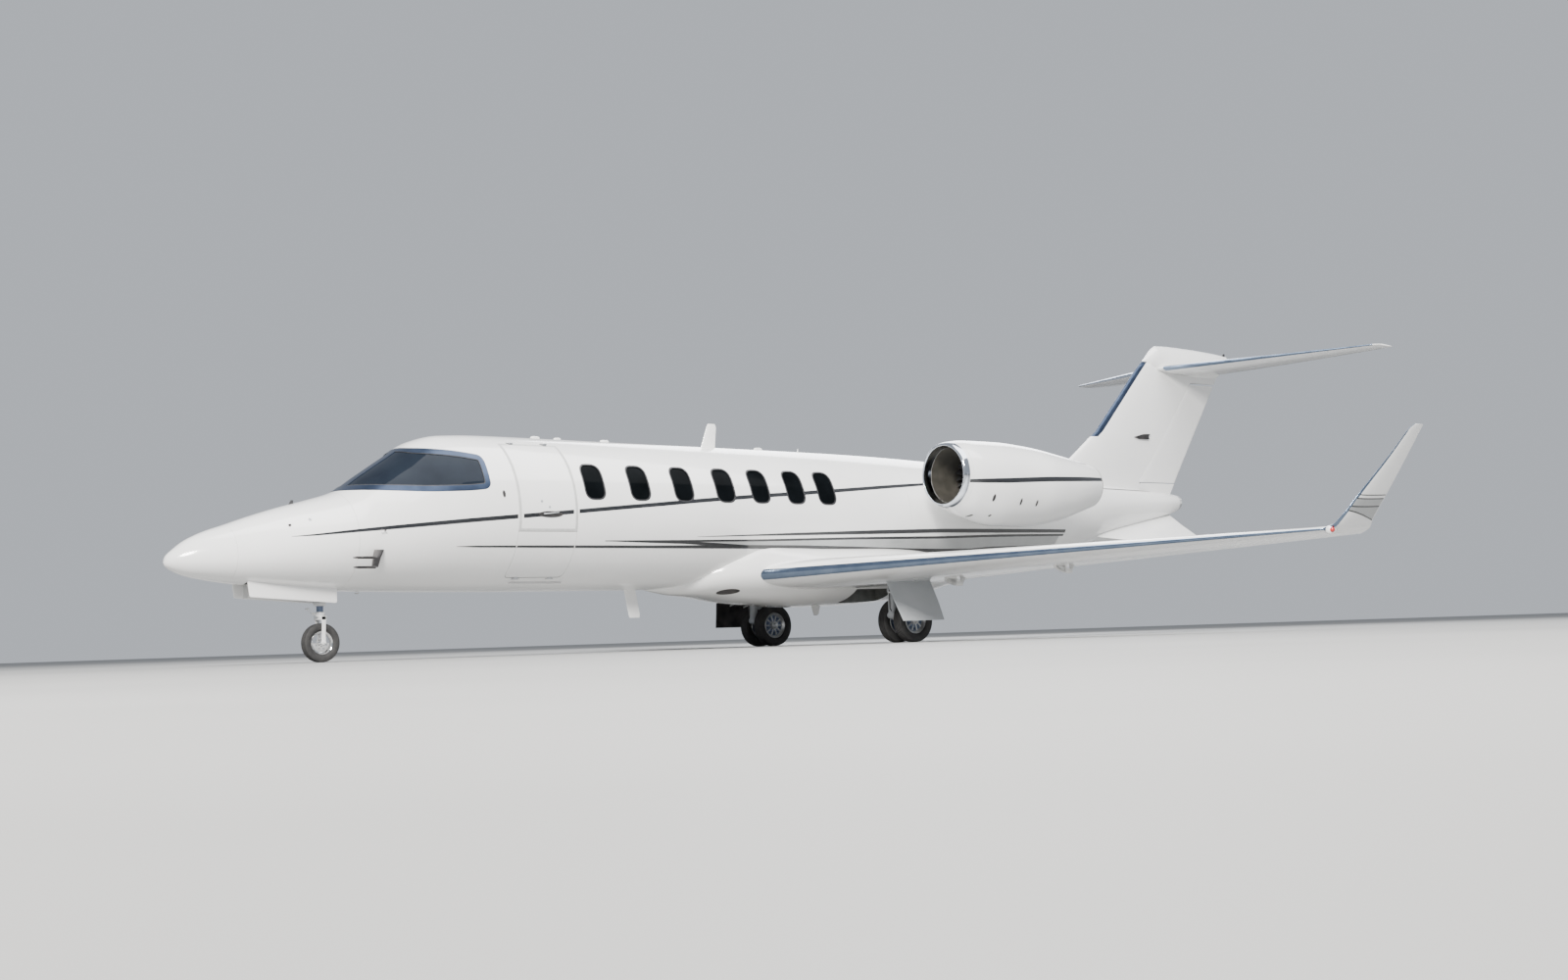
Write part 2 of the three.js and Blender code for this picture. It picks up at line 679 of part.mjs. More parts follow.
// Engines on the sides of the tail
function nacelleBody(grow) {
  return loft(nacelleRows.map(([station, halfWidth, top, bottom]) => {
    const ring = [];
    for (let i = 0; i < ductSteps; i += 1) {
      const angle = (i / ductSteps) * Math.PI * 2;
      ring.push(new THREE.Vector3(station, engineOffset + Math.cos(angle) * (halfWidth + grow),
        (top + bottom) / 2 + Math.sin(angle) * ((top - bottom) / 2 + grow)));
    }
    return ring;
  }));
}

// The duct narrows in three straight stretches: station and height of the middle, radius
const ductRows = [
  [9900, 2136, 366],
  [10700, 2118, 358],
  [12000, 2048, 332],
  [12700, 2022, nozzleRadius],
];
const ductSteps = 20;
function ductBody(from, to, grow) {
  return loft(placesBetween(ductRows, from, to).map((station) => {
    const [, middle, radius] = rowAt(ductRows, station);
    return circleRing(station, engineOffset, middle, radius + grow);
  }));
}

function circleRing(station, y, z, radius) {
  const ring = [];
  for (let i = 0; i < ductSteps; i += 1) {
    const angle = (i / ductSteps) * Math.PI * 2;
    ring.push(new THREE.Vector3(station, y + Math.cos(angle) * radius, z + Math.sin(angle) * radius));
  }
  return ring;
}

const cowl = nacelleBody(0).subtract(ductBody(9900, 13000, 0));
const lip = cowl.intersect(box(9900, lipEnd, 0, 3000, 1000, 3000));
const nacelle = cowl.intersect(box(lipEnd + seam, 13000, 0, 3000, 1000, 3000));
const fanMiddle = rowAt(ductRows, fanStation)[1];
const coreFront = 10700;
const coreBack = 11960;
const shaftRadius = 38;
const core = join(
  ductBody(coreFront, coreBack, -seam),
  bar([fanStation - 10, engineOffset, fanMiddle], [coreFront + 20, engineOffset, fanMiddle],
    shaftRadius, shaftRadius, 20),
  bar([coreBack - 20, engineOffset, 2050], [coreBack + 480, engineOffset, 2032], 190, 24, 20));
// Fan: spinner and disc on the core's shaft, as radius and station from the fan's middle
const fanProfile = [[0, -190], [40, -172], [84, -110], [118, -30], [fanRadius - movingGap, -26],
  [fanRadius - movingGap, 26], [118, 60], [shaftRadius + pinClearance, 60],
  [shaftRadius + pinClearance, -16], [0, -16]];
const fan = toSolid(new THREE.LatheGeometry(fanProfile.map(([r, a]) => new THREE.Vector2(r, a)), ductSteps)
  .rotateZ(-Math.PI / 2).translate(fanStation, engineOffset, fanMiddle));
const pylonHeight = 2035;
const pylonBlock = loft([[450, 10950, 1850], [1150, 10950, 1750]].map(([y, leading, chord]) => (
  foilOutline(0.085, 0).map(([share, rise]) => (
    new THREE.Vector3(leading + chord * share, y, pylonHeight + chord * rise))))));
const pylon = pylonBlock.subtract(nacelleBody(seam));
for (const [suffix, side] of [['left', -1], ['right', 1]]) {
  const place = (solid) => (side > 0 ? solid : mirrored(solid));
  addPiece(`nacelle_${suffix}`, place(nacelle), white);
  addPiece(`inlet_lip_${suffix}`, place(lip), polished);
  addPiece(`engine_core_${suffix}`, place(core), dark);
  addPiece(`fan_${suffix}`, place(fan), gearMetal);
  addPiece(`pylon_${suffix}`, place(pylon).subtract(bodySkin), white);
}

// Tail: fin with its dorsal fillet, rudder, tailplane and elevators
// Fin sections: height, leading edge, trailing edge, half thickness
const finRows = [
  [2010, 13150, 16040, 70],
  [2330, 13560, 16240, 74],
  [2560, 13930, 16392, 78],
  [2975, 14500, 16667, 78],
  [3500, 15010, 17015, 74],
  [3900, 15395, 17275, 68],
  [4050, 15560, 17200, 60],
];
function finRing([z, leading, trailing, half], grow = 0) {
  const chord = trailing - leading + grow * 2;
  return foilOutline(2 * (half + grow) / chord, 0).map(([share, rise]) => new THREE.Vector3(
    leading - grow + chord * share, chord * rise, z));
}
const finBody = (grow) => loft(finRows.map((row) => finRing(row, grow)));

// The fairing that joins the tailplane to the fin: station, half width, top, bottom
const capRows = [
  [15580, 14, 4066, 4030],
  [15640, 34, 4116, 3990],
  [15720, 60, 4192, 3948],
  [15800, 82, 4258, 3915],
  [15880, 95, 4296, 3895],
  [16040, 104, 4299, 3880],
  [16700, 112, 4280, 3850],
  [17200, 84, 4248, 3872],
  [17500, 30, 4216, 4040],
];
const capBody = (grow) => loft(capRows.map(([station, halfWidth, top, bottom]) => {
  const ring = [];
  for (let i = 0; i < 20; i += 1) {
    const angle = (i / 20) * Math.PI * 2;
    ring.push(new THREE.Vector3(station, Math.cos(angle) * (halfWidth + grow),
      (top + bottom) / 2 + Math.sin(angle) * ((top - bottom) / 2 + grow)));
  }
  return ring;
}));

const rudderShare = 0.7;
const rudderLow = 2240;
const rudderHigh = 3740;
// A hinged surface's round nose is cut a little larger than the skin is thick there.
function finHinge(z) {
  const [, leading, trailing, half] = rowAt(finRows, z);
  return {
    station: leading + (trailing - leading) * rudderShare,
    radius: 2 * half * foilHalfThickness(rudderShare) + noseAllowance,
  };
}
const rudderTopGap = 32;
const rudderFootGap = 15;
function rudderCutter(grow, foot = grow, top = grow) {
  const low = finHinge(rudderLow);
  const high = finHinge(rudderHigh);
  const slope = (high.station - low.station) / (rudderHigh - rudderLow);
  const from = [low.station - slope * foot, rudderLow - foot];
  const to = [high.station + slope * top, rudderHigh + top];
  const behind = sidePrism([
    from, [from[0] + 2500, from[1]], [to[0] + 2500, to[1]], to,
  ], -400, 400);
  return behind.add(bar([from[0], 0, from[1]], [to[0], 0, to[1]],
    low.radius + grow, high.radius + grow, noseSides));
}
const tailSkin = fuselage(cabinEnd + seam, fuselageEnd, seam);
const sparBlock = (grow) => box(16000 - grow, 16700 + grow, -240, 240, 3915 - grow, 3962 + grow);
const rudderLine = [rudderLow, rudderHigh].map((z) => [finHinge(z).station, 0, z]);
const rudderPins = (extra) => hingePins(...rudderLine, rudderFootGap, rudderTopGap, extra);
addPiece('fin', finBody(0).subtract(rudderCutter(movingGap, rudderFootGap, rudderTopGap)).add(rudderPins(0))
  .subtract(tailSkin).add(capBody(0)).subtract(sparBlock(seam)), white);
addPiece('rudder', finBody(0).intersect(rudderCutter(0)).subtract(rudderPins(pinClearance)), white);

// Tailplane sections: distance from the middle, leading edge, chord, height, thickness, angle
const tailRows = [
  [60, 15820, 1440, 3950, 0.09, 1],
  [2900, 17270, 400, 4062, 0.085, 3],
  [2960, 17360, 309.6, 4064, 0.08, 3],
];
const tailplaneHalf = (side) => loft(tailRows.map((row) => wingRing(row, side, 0)));
const elevatorSpan = [150, 2860];
const elevatorShare = 0.72;
function tailPoint(y, share) {
  const [, leading, chord, z, , angle] = rowAt(tailRows, y);
  const turn = THREE.MathUtils.degToRad(angle);
  return [leading + chord * share * Math.cos(turn), y, z - chord * share * Math.sin(turn)];
}
const elevatorEndGap = 10;
function elevatorCutter(grow, outer = grow) {
  const [from, to] = elevatorSpan;
  const start = tailPoint(from, elevatorShare);
  const end = tailPoint(to, elevatorShare);
  const radius = (y) => {
    const [, , chord, , thickness] = rowAt(tailRows, y);
    return foilHalfThickness(elevatorShare) * thickness * chord + noseAllowance;
  };
  return planPrism([
    [start[0], from - grow], [start[0] + 2000, from - grow],
    [end[0] + 2000, to + outer], [end[0], to + outer],
  ], 3700, 4400).add(bar([start[0], from - grow, start[2]], [end[0], to + outer, end[2]],
    radius(from) + grow, radius(to) + grow, noseSides));
}
const elevatorLine = elevatorSpan.map((y) => tailPoint(y, elevatorShare));
const elevatorPins = (extra) => hingePins(...elevatorLine, movingGap, elevatorEndGap, extra);
function tailplane(side) {
  const cutter = elevatorCutter(movingGap, elevatorEndGap);
  return tailplaneHalf(side).subtract(side > 0 ? cutter : mirrored(cutter))
    .add(side > 0 ? elevatorPins(0) : mirrored(elevatorPins(0)));
}
addPiece('tailplane', join(tailplane(1), tailplane(-1))
  .subtract(finBody(seam)).subtract(capBody(seam)).add(sparBlock(0)), white);
for (const [suffix, side] of [['left', -1], ['right', 1]]) {
  const cutter = elevatorCutter(0).subtract(elevatorPins(pinClearance));
  addPiece(`elevator_${suffix}`, tailplaneHalf(side).intersect(side > 0 ? cutter : mirrored(cutter)), white);
}

// Slanted fins under the tail, from root to tip: leading edge, chord, distance out, height of the
// leading edge, half thickness, and how far the trailing edge lies above the leading edge
const deltaRows = [
  [13490, 2490, 14, 1535, 36, 250],
  [14250, 1700, 300, 1400, 26, 200],
  [15050, 860, 640, 1300, 12, 107],
];
function deltaFin(side) {
  return loft(deltaRows.map(([leading, chord, y, z, half, lift]) => foilOutline(2 * half / chord, 0)
    .map(([share, rise]) => new THREE.Vector3(leading + chord * share,
      side * (y + chord * rise * 0.5), z + lift * share + chord * rise))));
}
for (const [suffix, side] of [['left', -1], ['right', 1]]) {
  addPiece(`delta_fin_${suffix}`, deltaFin(side).subtract(tailSkin), white);
}

// Nose gear: leg, steered fork, wheel and the two open doors
const forkTop = 560;
addPiece('nose_leg', join(
  bar([noseWheelStation, 0, forkTop + seam], [noseWheelStation, 0, noseLegTop], 52, 52, 20),
  bar([noseWheelStation, 0, forkTop + 60], [noseWheelStation, 0, forkTop + 120], 66, 66, 20),
  bar([noseWheelStation - 330, 0, noseLegTop - 60], [noseWheelStation, 0, 760], 26, 26, 12),
  box(noseWheelStation - 400, noseWheelStation - 280, -bayHalfWidth + seam, bayHalfWidth - seam,
    noseLegTop - 110, noseLegTop - 30)), gearMetal);
const forkInner = noseTyreWidth / 2 + 9;
const forkOuter = forkInner + 22;
const towPinRadius = 14;
const towPinLength = 26;
const forkCheek = (side) => sidePrism([
  [noseWheelStation - 38, 180], [noseWheelStation + 38, 180],
  [noseWheelStation + 44, forkTop - 60], [noseWheelStation - 44, forkTop - 60],
], side > 0 ? forkInner : -forkOuter, side > 0 ? forkOuter : -forkInner);
addPiece('nose_fork', join(
  bar([noseWheelStation, 0, forkTop - 40], [noseWheelStation, 0, forkTop], 60, 60, 20),
  box(noseWheelStation - 46, noseWheelStation + 46, -forkOuter, forkOuter, forkTop - 95, forkTop - 40),
  forkCheek(1), forkCheek(-1),
  ...[-1, 1].map((side) => bar([noseWheelStation, side * (forkOuter - 4), noseTyreRadius],
    [noseWheelStation, side * (forkOuter + towPinLength), noseTyreRadius],
    towPinRadius, towPinRadius, 24))), gearMetal);

// Wheels are turned from half profiles: radius and distance along the axle
function wheelProfile(rim, halfWidth, hubHalf, boss, reach) {
  return [[0, -reach], [boss, -reach], [boss, -hubHalf], [rim - 26, -hubHalf], [rim - 14, -halfWidth],
    [rim, -halfWidth], [rim, halfWidth], [rim - 14, halfWidth], [rim - 26, hubHalf], [boss, hubHalf],
    [boss, reach], [0, reach]];
}
function tyreProfile(outer, inner, width) {
  const half = width / 2;
  const wallSpan = outer - inner;
  return [[inner, -half * 0.75], [inner + wallSpan * 0.45, -half],
    [outer - wallSpan * 0.14, -half * 0.82], [outer, -half * 0.45], [outer, half * 0.45],
    [outer - wallSpan * 0.14, half * 0.82], [inner + wallSpan * 0.45, half],
    [inner, half * 0.75], [inner, -half * 0.75]];
}
const wheelSides = 20;
addPiece('nose_hub', turned(wheelProfile(noseRimRadius - seam, 38, 26, 24, forkInner - seam),
  noseWheelStation, 0, noseTyreRadius, wheelSides), polished);
addPiece('nose_tyre', turned(tyreProfile(noseTyreRadius, noseRimRadius, noseTyreWidth),
  noseWheelStation, 0, noseTyreRadius, wheelSides), rubber);

const noseDoorThickness = 18;
for (const [suffix, side] of [['left', -1], ['right', 1]]) {
  const inner = bayHalfWidth + 12;
  const panel = sidePrism([[870, 915], [895, 730], [1948, 651], [1948, 842]],
    inner, inner + noseDoorThickness);
  addPiece(`nose_gear_door_${suffix}`, (side > 0 ? panel : mirrored(panel))
    .subtract(fuselage(radomeEnd + seam, noseSectionEnd, seam)), white);
}

// Main gear: leg with its trailing arm and shock absorber, twin wheels on one axle, and the door
const legStation = 9120;
const legOffset = mainTrack / 2;
const kneeHeight = 350;
const axleRadius = 30;
const armHalfWidth = 44;
const wheelReach = twinSpacing / 2 + 50;
for (const [suffix, side] of [['left', -1], ['right', 1]]) {
  const y = side * legOffset;
  const arm = sidePrism([
    [legStation - 55, kneeHeight - 45], [mainWheelStation + 10, mainTyreRadius - 62],
    [mainWheelStation + 62, mainTyreRadius - 20], [mainWheelStation + 50, mainTyreRadius + 50],
    [legStation + 30, kneeHeight + 70], [legStation - 55, kneeHeight + 50],
  ], y - armHalfWidth, y + armHalfWidth);
  const leg = join(
    bar([legStation, y, kneeHeight], [legStation + 10, y, 850], 58, 62, 18),
    bar([mainWheelStation - 40, y, mainTyreRadius + 30], [legStation + 60, y, 800], 36, 42, 14),
    arm);
  const axleHole = bar([mainWheelStation, y - 90, mainTyreRadius], [mainWheelStation, y + 90, mainTyreRadius],
    axleRadius + 1, axleRadius + 1, wheelSides);
  const wingHere = side > 0 ? plainWing : mirrored(plainWing);
  const skin = loft(wingRows.map((row) => wingRing(
    [row[0], row[1] - 1, row[2] + 2, row[3], row[4] + 2 / row[2], row[5]], side)));
  addPiece(`main_leg_${suffix}`, leg.subtract(skin).subtract(axleHole), gearMetal);
  const wheels = turned([
    [0, -wheelReach], [70, -wheelReach], [90, -wheelReach + 26], [140, -wheelReach + 22],
    [mainRimRadius, -wheelReach - 10], [mainRimRadius, -wheelReach + 100],
    [axleRadius, -wheelReach + 96], [axleRadius, wheelReach - 96],
    [mainRimRadius, wheelReach - 100], [mainRimRadius, wheelReach + 10],
    [140, wheelReach - 22], [90, wheelReach - 26], [70, wheelReach], [0, wheelReach],
  ], mainWheelStation, y, mainTyreRadius, wheelSides);
  addPiece(`main_hubs_${suffix}`, wheels, gearMetal);
  for (const [place, out] of [['inner', -1], ['outer', 1]]) {
    addPiece(`main_tyre_${suffix}_${place}`,
      turned(tyreProfile(mainTyreRadius, mainRimRadius + seam, mainTyreWidth),
        mainWheelStation, y + side * out * twinSpacing / 2, mainTyreRadius, wheelSides), rubber);
  }
  const gearDoor = loft([[1700, 8730, 745, 815], [1790, 8790, 735, 540], [1890, 8850, 690, 270]]
    .map(([out, from, chord, z]) => [[0, 0], [chord, 0], [chord, 22], [0, 22]].map(([x, thick]) => (
      new THREE.Vector3(from + x, side * (out + thick), z)))));
  addPiece(`gear_door_${suffix}`, gearDoor.subtract(skin), white);
}

// Blade antennas above and below the cabin
const blade = (station, chord, sweep, low, high, half) => loft([[0, low], [sweep, high]].map(([back, z]) => (
  foilOutline(2 * half / chord, 0).map(([share, rise]) => new THREE.Vector3(
    station + back + chord * share * (1 - Math.abs(back) * 0.002), chord * rise, z)))));
addPiece('antenna_top', blade(7225, 215, 118, 2400, 2845, 14).subtract(bodySkin), white);
addPiece('antenna_bottom', blade(6042, 174, -73, 412, 800, 14).subtract(bodySkin), white);

export default jet;
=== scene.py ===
# Light business jet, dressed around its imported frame. Metres, +X aft, +Y to starboard, +Z up.
import math
import bpy
import bmesh
from mathutils import Matrix, Vector
from mathutils.bvhtree import BVHTree


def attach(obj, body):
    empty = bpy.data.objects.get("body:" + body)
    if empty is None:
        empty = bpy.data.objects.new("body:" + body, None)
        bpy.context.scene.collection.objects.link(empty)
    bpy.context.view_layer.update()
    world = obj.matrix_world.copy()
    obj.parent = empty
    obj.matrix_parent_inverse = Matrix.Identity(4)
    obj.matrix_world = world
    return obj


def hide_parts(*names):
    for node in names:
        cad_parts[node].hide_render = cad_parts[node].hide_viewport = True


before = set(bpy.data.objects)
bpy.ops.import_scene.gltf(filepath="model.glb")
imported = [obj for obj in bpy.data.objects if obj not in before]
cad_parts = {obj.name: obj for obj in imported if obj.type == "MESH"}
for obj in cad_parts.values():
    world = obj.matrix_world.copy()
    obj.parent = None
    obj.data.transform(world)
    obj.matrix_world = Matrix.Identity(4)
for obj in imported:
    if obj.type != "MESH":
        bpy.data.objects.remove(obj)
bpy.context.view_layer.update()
noseTip = -8.835  # row x of the nose tip; tables below give stations in millimetres from it
sides = {"left": -1, "right": 1}
print("frame loaded:", len(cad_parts), "nodes")

# The camera first: it stands at floor level ahead of the port wing.
cameraSpec = {"place": (-19.446, -23.275, 0.115), "yaw": 39.488, "pitch": 3.616, "roll": -1.846,
              "focalPixels": 2375.7, "imageWidth": 1600, "sensor": 36.0}


def addCamera(spec):
    yaw, pitch, roll = (math.radians(spec[k]) for k in ("yaw", "pitch", "roll"))
    ahead = Vector((math.sin(yaw) * math.cos(pitch), math.cos(yaw) * math.cos(pitch), math.sin(pitch)))
    level = Vector((math.cos(yaw), -math.sin(yaw), 0))
    lift = level.cross(ahead)
    right = level * math.cos(roll) + lift * math.sin(roll)
    up = lift * math.cos(roll) - level * math.sin(roll)
    data = bpy.data.cameras.new("photoCamera")
    data.sensor_width = spec["sensor"]
    data.lens = spec["focalPixels"] * spec["sensor"] / spec["imageWidth"]
    data.clip_end = 400
    camera = bpy.data.objects.new("photoCamera", data)
    turn = Matrix((right, up, -ahead)).transposed().to_4x4()
    camera.matrix_world = Matrix.Translation(spec["place"]) @ turn
    bpy.context.collection.objects.link(camera)
    bpy.context.scene.camera = camera


addCamera(cameraSpec)


# Materials
def newMaterial(name, **sockets):
    material = bpy.data.materials.new(name)
    material.use_nodes = True
    shader = material.node_tree.nodes["Principled BSDF"]
    for key, value in sockets.items():
        shader.inputs[key].default_value = value
    return material, material.node_tree, shader


def addNode(tree, kind, **sockets):
    node = tree.nodes.new(kind)
    for key, value in sockets.items():
        node.inputs[key].default_value = value
    return node


def noiseOf(tree, scale):
    coordinate = addNode(tree, "ShaderNodeTexCoord")
    noise = addNode(tree, "ShaderNodeTexNoise", Scale=scale, Detail=4, Roughness=0.5)
    tree.links.new(coordinate.outputs["Object"], noise.inputs["Vector"])
    return noise.outputs["Fac"]


def rampOf(tree, source, places, colors):
    ramp = addNode(tree, "ShaderNodeValToRGB")
    while len(ramp.color_ramp.elements) < len(colors):
        ramp.color_ramp.elements.new(0.5)
    for element, place, color in zip(ramp.color_ramp.elements, places, colors):
        element.position = place
        element.color = (*color, 1)
    tree.links.new(source, ramp.inputs["Fac"])
    return ramp.outputs["Color"]


def rangeOf(tree, source, low, high):
    spread = addNode(tree, "ShaderNodeMapRange")
    spread.inputs["To Min"].default_value = low
    spread.inputs["To Max"].default_value = high
    tree.links.new(source, spread.inputs["Value"])
    return spread.outputs["Result"]


def bumpOf(tree, source, strength, distance):
    bump = addNode(tree, "ShaderNodeBump", Strength=strength, Distance=distance)
    tree.links.new(source, bump.inputs["Height"])
    return bump.outputs["Normal"]


def finish(name, colors, colorScale, roughness, bump=None, sockets=None, places=(0.3, 0.7)):
    # A colour and a roughness that vary over the surface, and a fine bump of scale, strength and depth.
    material, tree, shader = newMaterial(name, **(sockets or {}))
    spread = noiseOf(tree, colorScale)
    tree.links.new(rampOf(tree, spread, places, colors), shader.inputs["Base Color"])
    tree.links.new(rangeOf(tree, spread, *roughness), shader.inputs["Roughness"])
    if bump:
        scale, strength, depth = bump
        tree.links.new(bumpOf(tree, noiseOf(tree, scale), strength, depth), shader.inputs["Normal"])
    return material


# Rows: colours, scale of their change, range of roughness, bump, shader sockets, places of the colours.
clearCoat = {"Coat Weight": 1.0}
finishRows = {
    "whitePaint": (((0.83, 0.83, 0.82), (0.90, 0.90, 0.89)), 0.7, (0.14, 0.22), (240, 0.02, 0.0004),
                   {"Coat Weight": 0.7, "Coat Roughness": 0.04}),
    "greyPaint": (((0.33, 0.35, 0.37), (0.40, 0.42, 0.44)), 2, (0.3, 0.42), (240, 0.03, 0.0004),
                  {"Coat Weight": 0.3}),
    "silverPaint": (((0.38, 0.39, 0.39), (0.46, 0.47, 0.47)), 3, (0.28, 0.36), (300, 0.03, 0.0003),
                    {"Metallic": 0.35}),
    "stripePaint": (((0.009, 0.010, 0.012), (0.017, 0.018, 0.021)), 3, (0.2, 0.3), (300, 0.02, 0.0003),
                    {"Coat Weight": 0.5}),
    # Polished leading edges: the blue of their colour is a painted reflection of the sky.
    "polishedSkyTint": (((0.15, 0.20, 0.29), (0.22, 0.28, 0.38)), 5, (0.12, 0.20), (160, 0.02, 0.0004),
                      {"Metallic": 1.0}),
    "lipMetal": (((0.50, 0.53, 0.58), (0.62, 0.65, 0.70)), 5, (0.06, 0.13), (160, 0.02, 0.0004),
                 {"Metallic": 1.0}),
    # Windshield frame and fin edge: polished metal coloured dark blue, a painted reflection.
    "frameMetal": (((0.030, 0.045, 0.080), (0.046, 0.066, 0.112)), 6, (0.26, 0.36), (200, 0.03, 0.0004),
                   {"Metallic": 0.75}),
    # Intake liner, darkened far below its own light grey: painted shade inside the duct.
    "ductShade": (((0.045, 0.043, 0.036), (0.075, 0.070, 0.060)), 9, (0.35, 0.5), (200, 0.08, 0.0005)),
    "legPaint": (((0.09, 0.12, 0.19), (0.15, 0.19, 0.27)), 8, (0.3, 0.42), (200, 0.05, 0.0005),
                 {"Metallic": 0.3}),
    "satinMetal": (((0.46, 0.47, 0.48), (0.60, 0.61, 0.62)), 14, (0.26, 0.44), (420, 0.08, 0.0004),
                   {"Metallic": 0.9}),
    "chrome": (((0.78, 0.79, 0.80), (0.88, 0.88, 0.88)), 30, (0.04, 0.09), None, {"Metallic": 1.0}),
    "gearPaint": (((0.66, 0.67, 0.67), (0.76, 0.76, 0.76)), 9, (0.26, 0.4), (260, 0.05, 0.0005)),
    "darkMetal": (((0.045, 0.045, 0.048), (0.13, 0.12, 0.115)), 8, (0.3, 0.55), (140, 0.2, 0.001),
                  {"Metallic": 0.8}, (0.25, 0.75)),
    "hotMetal": (((0.20, 0.17, 0.15), (0.34, 0.30, 0.27), (0.26, 0.27, 0.31)), 4, (0.3, 0.5),
                 (90, 0.15, 0.001), {"Metallic": 0.95}, (0.2, 0.5, 0.8)),
    "fanMetal": (((0.30, 0.31, 0.33), (0.44, 0.45, 0.47)), 12, (0.22, 0.36), (300, 0.06, 0.0004),
                 {"Metallic": 0.95}),
    "rubber": (((0.018, 0.018, 0.019), (0.042, 0.041, 0.040)), 18, (0.62, 0.86), (320, 0.25, 0.0008)),
    "blackPlastic": (((0.020, 0.020, 0.022), (0.040, 0.040, 0.043)), 30, (0.4, 0.6), (500, 0.2, 0.0004)),
    "carpet": (((0.16, 0.145, 0.125), (0.24, 0.22, 0.19)), 130, (0.85, 1.0), (700, 0.6, 0.002)),
    "leather": (((0.48, 0.40, 0.30), (0.58, 0.49, 0.38)), 7, (0.38, 0.56), (260, 0.35, 0.0012)),
    "lining": (((0.56, 0.53, 0.47), (0.63, 0.60, 0.54)), 12, (0.5, 0.7), (400, 0.15, 0.0006)),
    "cavity": (((0.10, 0.105, 0.10), (0.17, 0.175, 0.165)), 10, (0.5, 0.75), (120, 0.2, 0.001)),
    "seamPaint": (((0.46, 0.465, 0.46), (0.54, 0.545, 0.54)), 20, (0.4, 0.6)),
    "redLens": (((0.45, 0.01, 0.01), (0.6, 0.02, 0.02)), 20, (0.05, 0.12), None, clearCoat),
    "greenLens": (((0.01, 0.30, 0.10), (0.02, 0.4, 0.14)), 20, (0.05, 0.12), None, clearCoat),
    "clearLens": (((0.75, 0.77, 0.78), (0.86, 0.87, 0.88)), 20, (0.04, 0.1), None,
                  {"Transmission Weight": 0.5}),
    # Near-black and opaque: partly the panes' tint, partly painted shade of the cabin behind them.
    "cabinGlass": (((0.002, 0.0025, 0.003), (0.004, 0.005, 0.006)), 3, (0.08, 0.11), None,
                   {"Transmission Weight": 0.0, "IOR": 1.3, "Specular IOR Level": 0.03}),
    "windshieldGlass": (((0.010, 0.014, 0.022), (0.016, 0.022, 0.032)), 3, (0.02, 0.05), None,
                        {"Transmission Weight": 0.15, "IOR": 1.3, "Specular IOR Level": 0.12}),
    "floorPaint": (((0.27, 0.27, 0.265), (0.33, 0.33, 0.325)), 0.15, (0.6, 0.8), (30, 0.05, 0.002)),
}
finishes = {name: finish(name, *row) for name, row in finishRows.items()}
print("finishes ready:", len(finishes))


# Tables, aerofoils and places
def smoothTable(rows, spread=1.0):
    # A monotone cubic through the rows of a table. A spread below 1 gives more room to the first rows.
    places = [row[0] ** spread for row in rows]
    columns = []
    for column in range(1, len(rows[0])):
        values = [row[column] for row in rows]
        slopes = [(values[i + 1] - values[i]) / (places[i + 1] - places[i]) for i in range(len(rows) - 1)]
        tangents = [slopes[0]] + [0.0 if a * b <= 0 else 2 * a * b / (a + b)
                                  for a, b in zip(slopes, slopes[1:])] + [slopes[-1]]
        columns.append((values, tangents))

    def at(place):
        place = min(max(place ** spread, places[0]), places[-1])
        i = 0
        while i < len(places) - 2 and places[i + 1] < place:
            i += 1
        width = places[i + 1] - places[i]
        t = (place - places[i]) / width
        start, end = 2 * t ** 3 - 3 * t ** 2 + 1, 3 * t ** 2 - 2 * t ** 3
        leaving, arriving = (t ** 3 - 2 * t ** 2 + t) * width, (t ** 3 - t ** 2) * width
        return [start * values[i] + leaving * tangents[i] + end * values[i + 1] + arriving * tangents[i + 1]
                for values, tangents in columns]
    return at


def lineTable(rows):
    # Straight lines through the rows of a table.
    def at(place):
        place = min(max(place, rows[0][0]), rows[-1][0])
        i = 0
        while i < len(rows) - 2 and rows[i + 1][0] < place:
            i += 1
        t = (place - rows[i][0]) / (rows[i + 1][0] - rows[i][0])
        return [a + (b - a) * t for a, b in zip(rows[i][1:], rows[i + 1][1:])]
    return at


def spaced(start, end, count):
    return [start + (end - start) * i / count for i in range(count + 1)]


def halfThickness(share):
    # Half the thickness of a four-digit aerofoil at a share of its chord, with a slightly open trailing edge.
    share = min(max(share, 0.0), 1.0)
    root = 0.2969 * math.sqrt(share)
    curve = root - 0.126 * share - 0.3516 * share ** 2 + 0.2843 * share ** 3 - 0.1015 * share ** 4
    return 5 * curve + 0.012 * share


def aroundChord(turn):
    # Share of the chord at an angle round a section, and its side: 1 above, -1 below, 0 at both ends.
    sine = math.sin(turn)
    return (1 + math.cos(turn)) / 2, 0 if abs(sine) < 1e-6 else math.copysign(1, sine)


# Mesh helpers
def placed(station, y, z):
    # Metres in the shared frame from millimetres; stations count from the tip of the nose.
    return Vector((station * 0.001 + noseTip, y * 0.001, z * 0.001))


def stationOf(co):
    return (co.x - noseTip) * 1000


def smoothByAngle(mesh):
    mesh.shade_smooth()
    mesh.set_sharp_from_angle(angle=math.radians(48))


def meshObject(name, bm, material):
    bmesh.ops.remove_doubles(bm, verts=bm.verts, dist=0.00002)
    bmesh.ops.recalc_face_normals(bm, faces=bm.faces)
    mesh = bpy.data.meshes.new(name)
    bm.to_mesh(mesh)
    bm.free()
    smoothByAngle(mesh)
    obj = bpy.data.objects.new(name, mesh)
    bpy.context.collection.objects.link(obj)
    for entry in material if isinstance(material, (list, tuple)) else [material]:
        mesh.materials.append(finishes[entry])
    return obj


def dress(obj, body, slot, *nodes):
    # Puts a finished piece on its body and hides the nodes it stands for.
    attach(obj, body)
    if nodes:
        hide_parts(*nodes)
    return obj


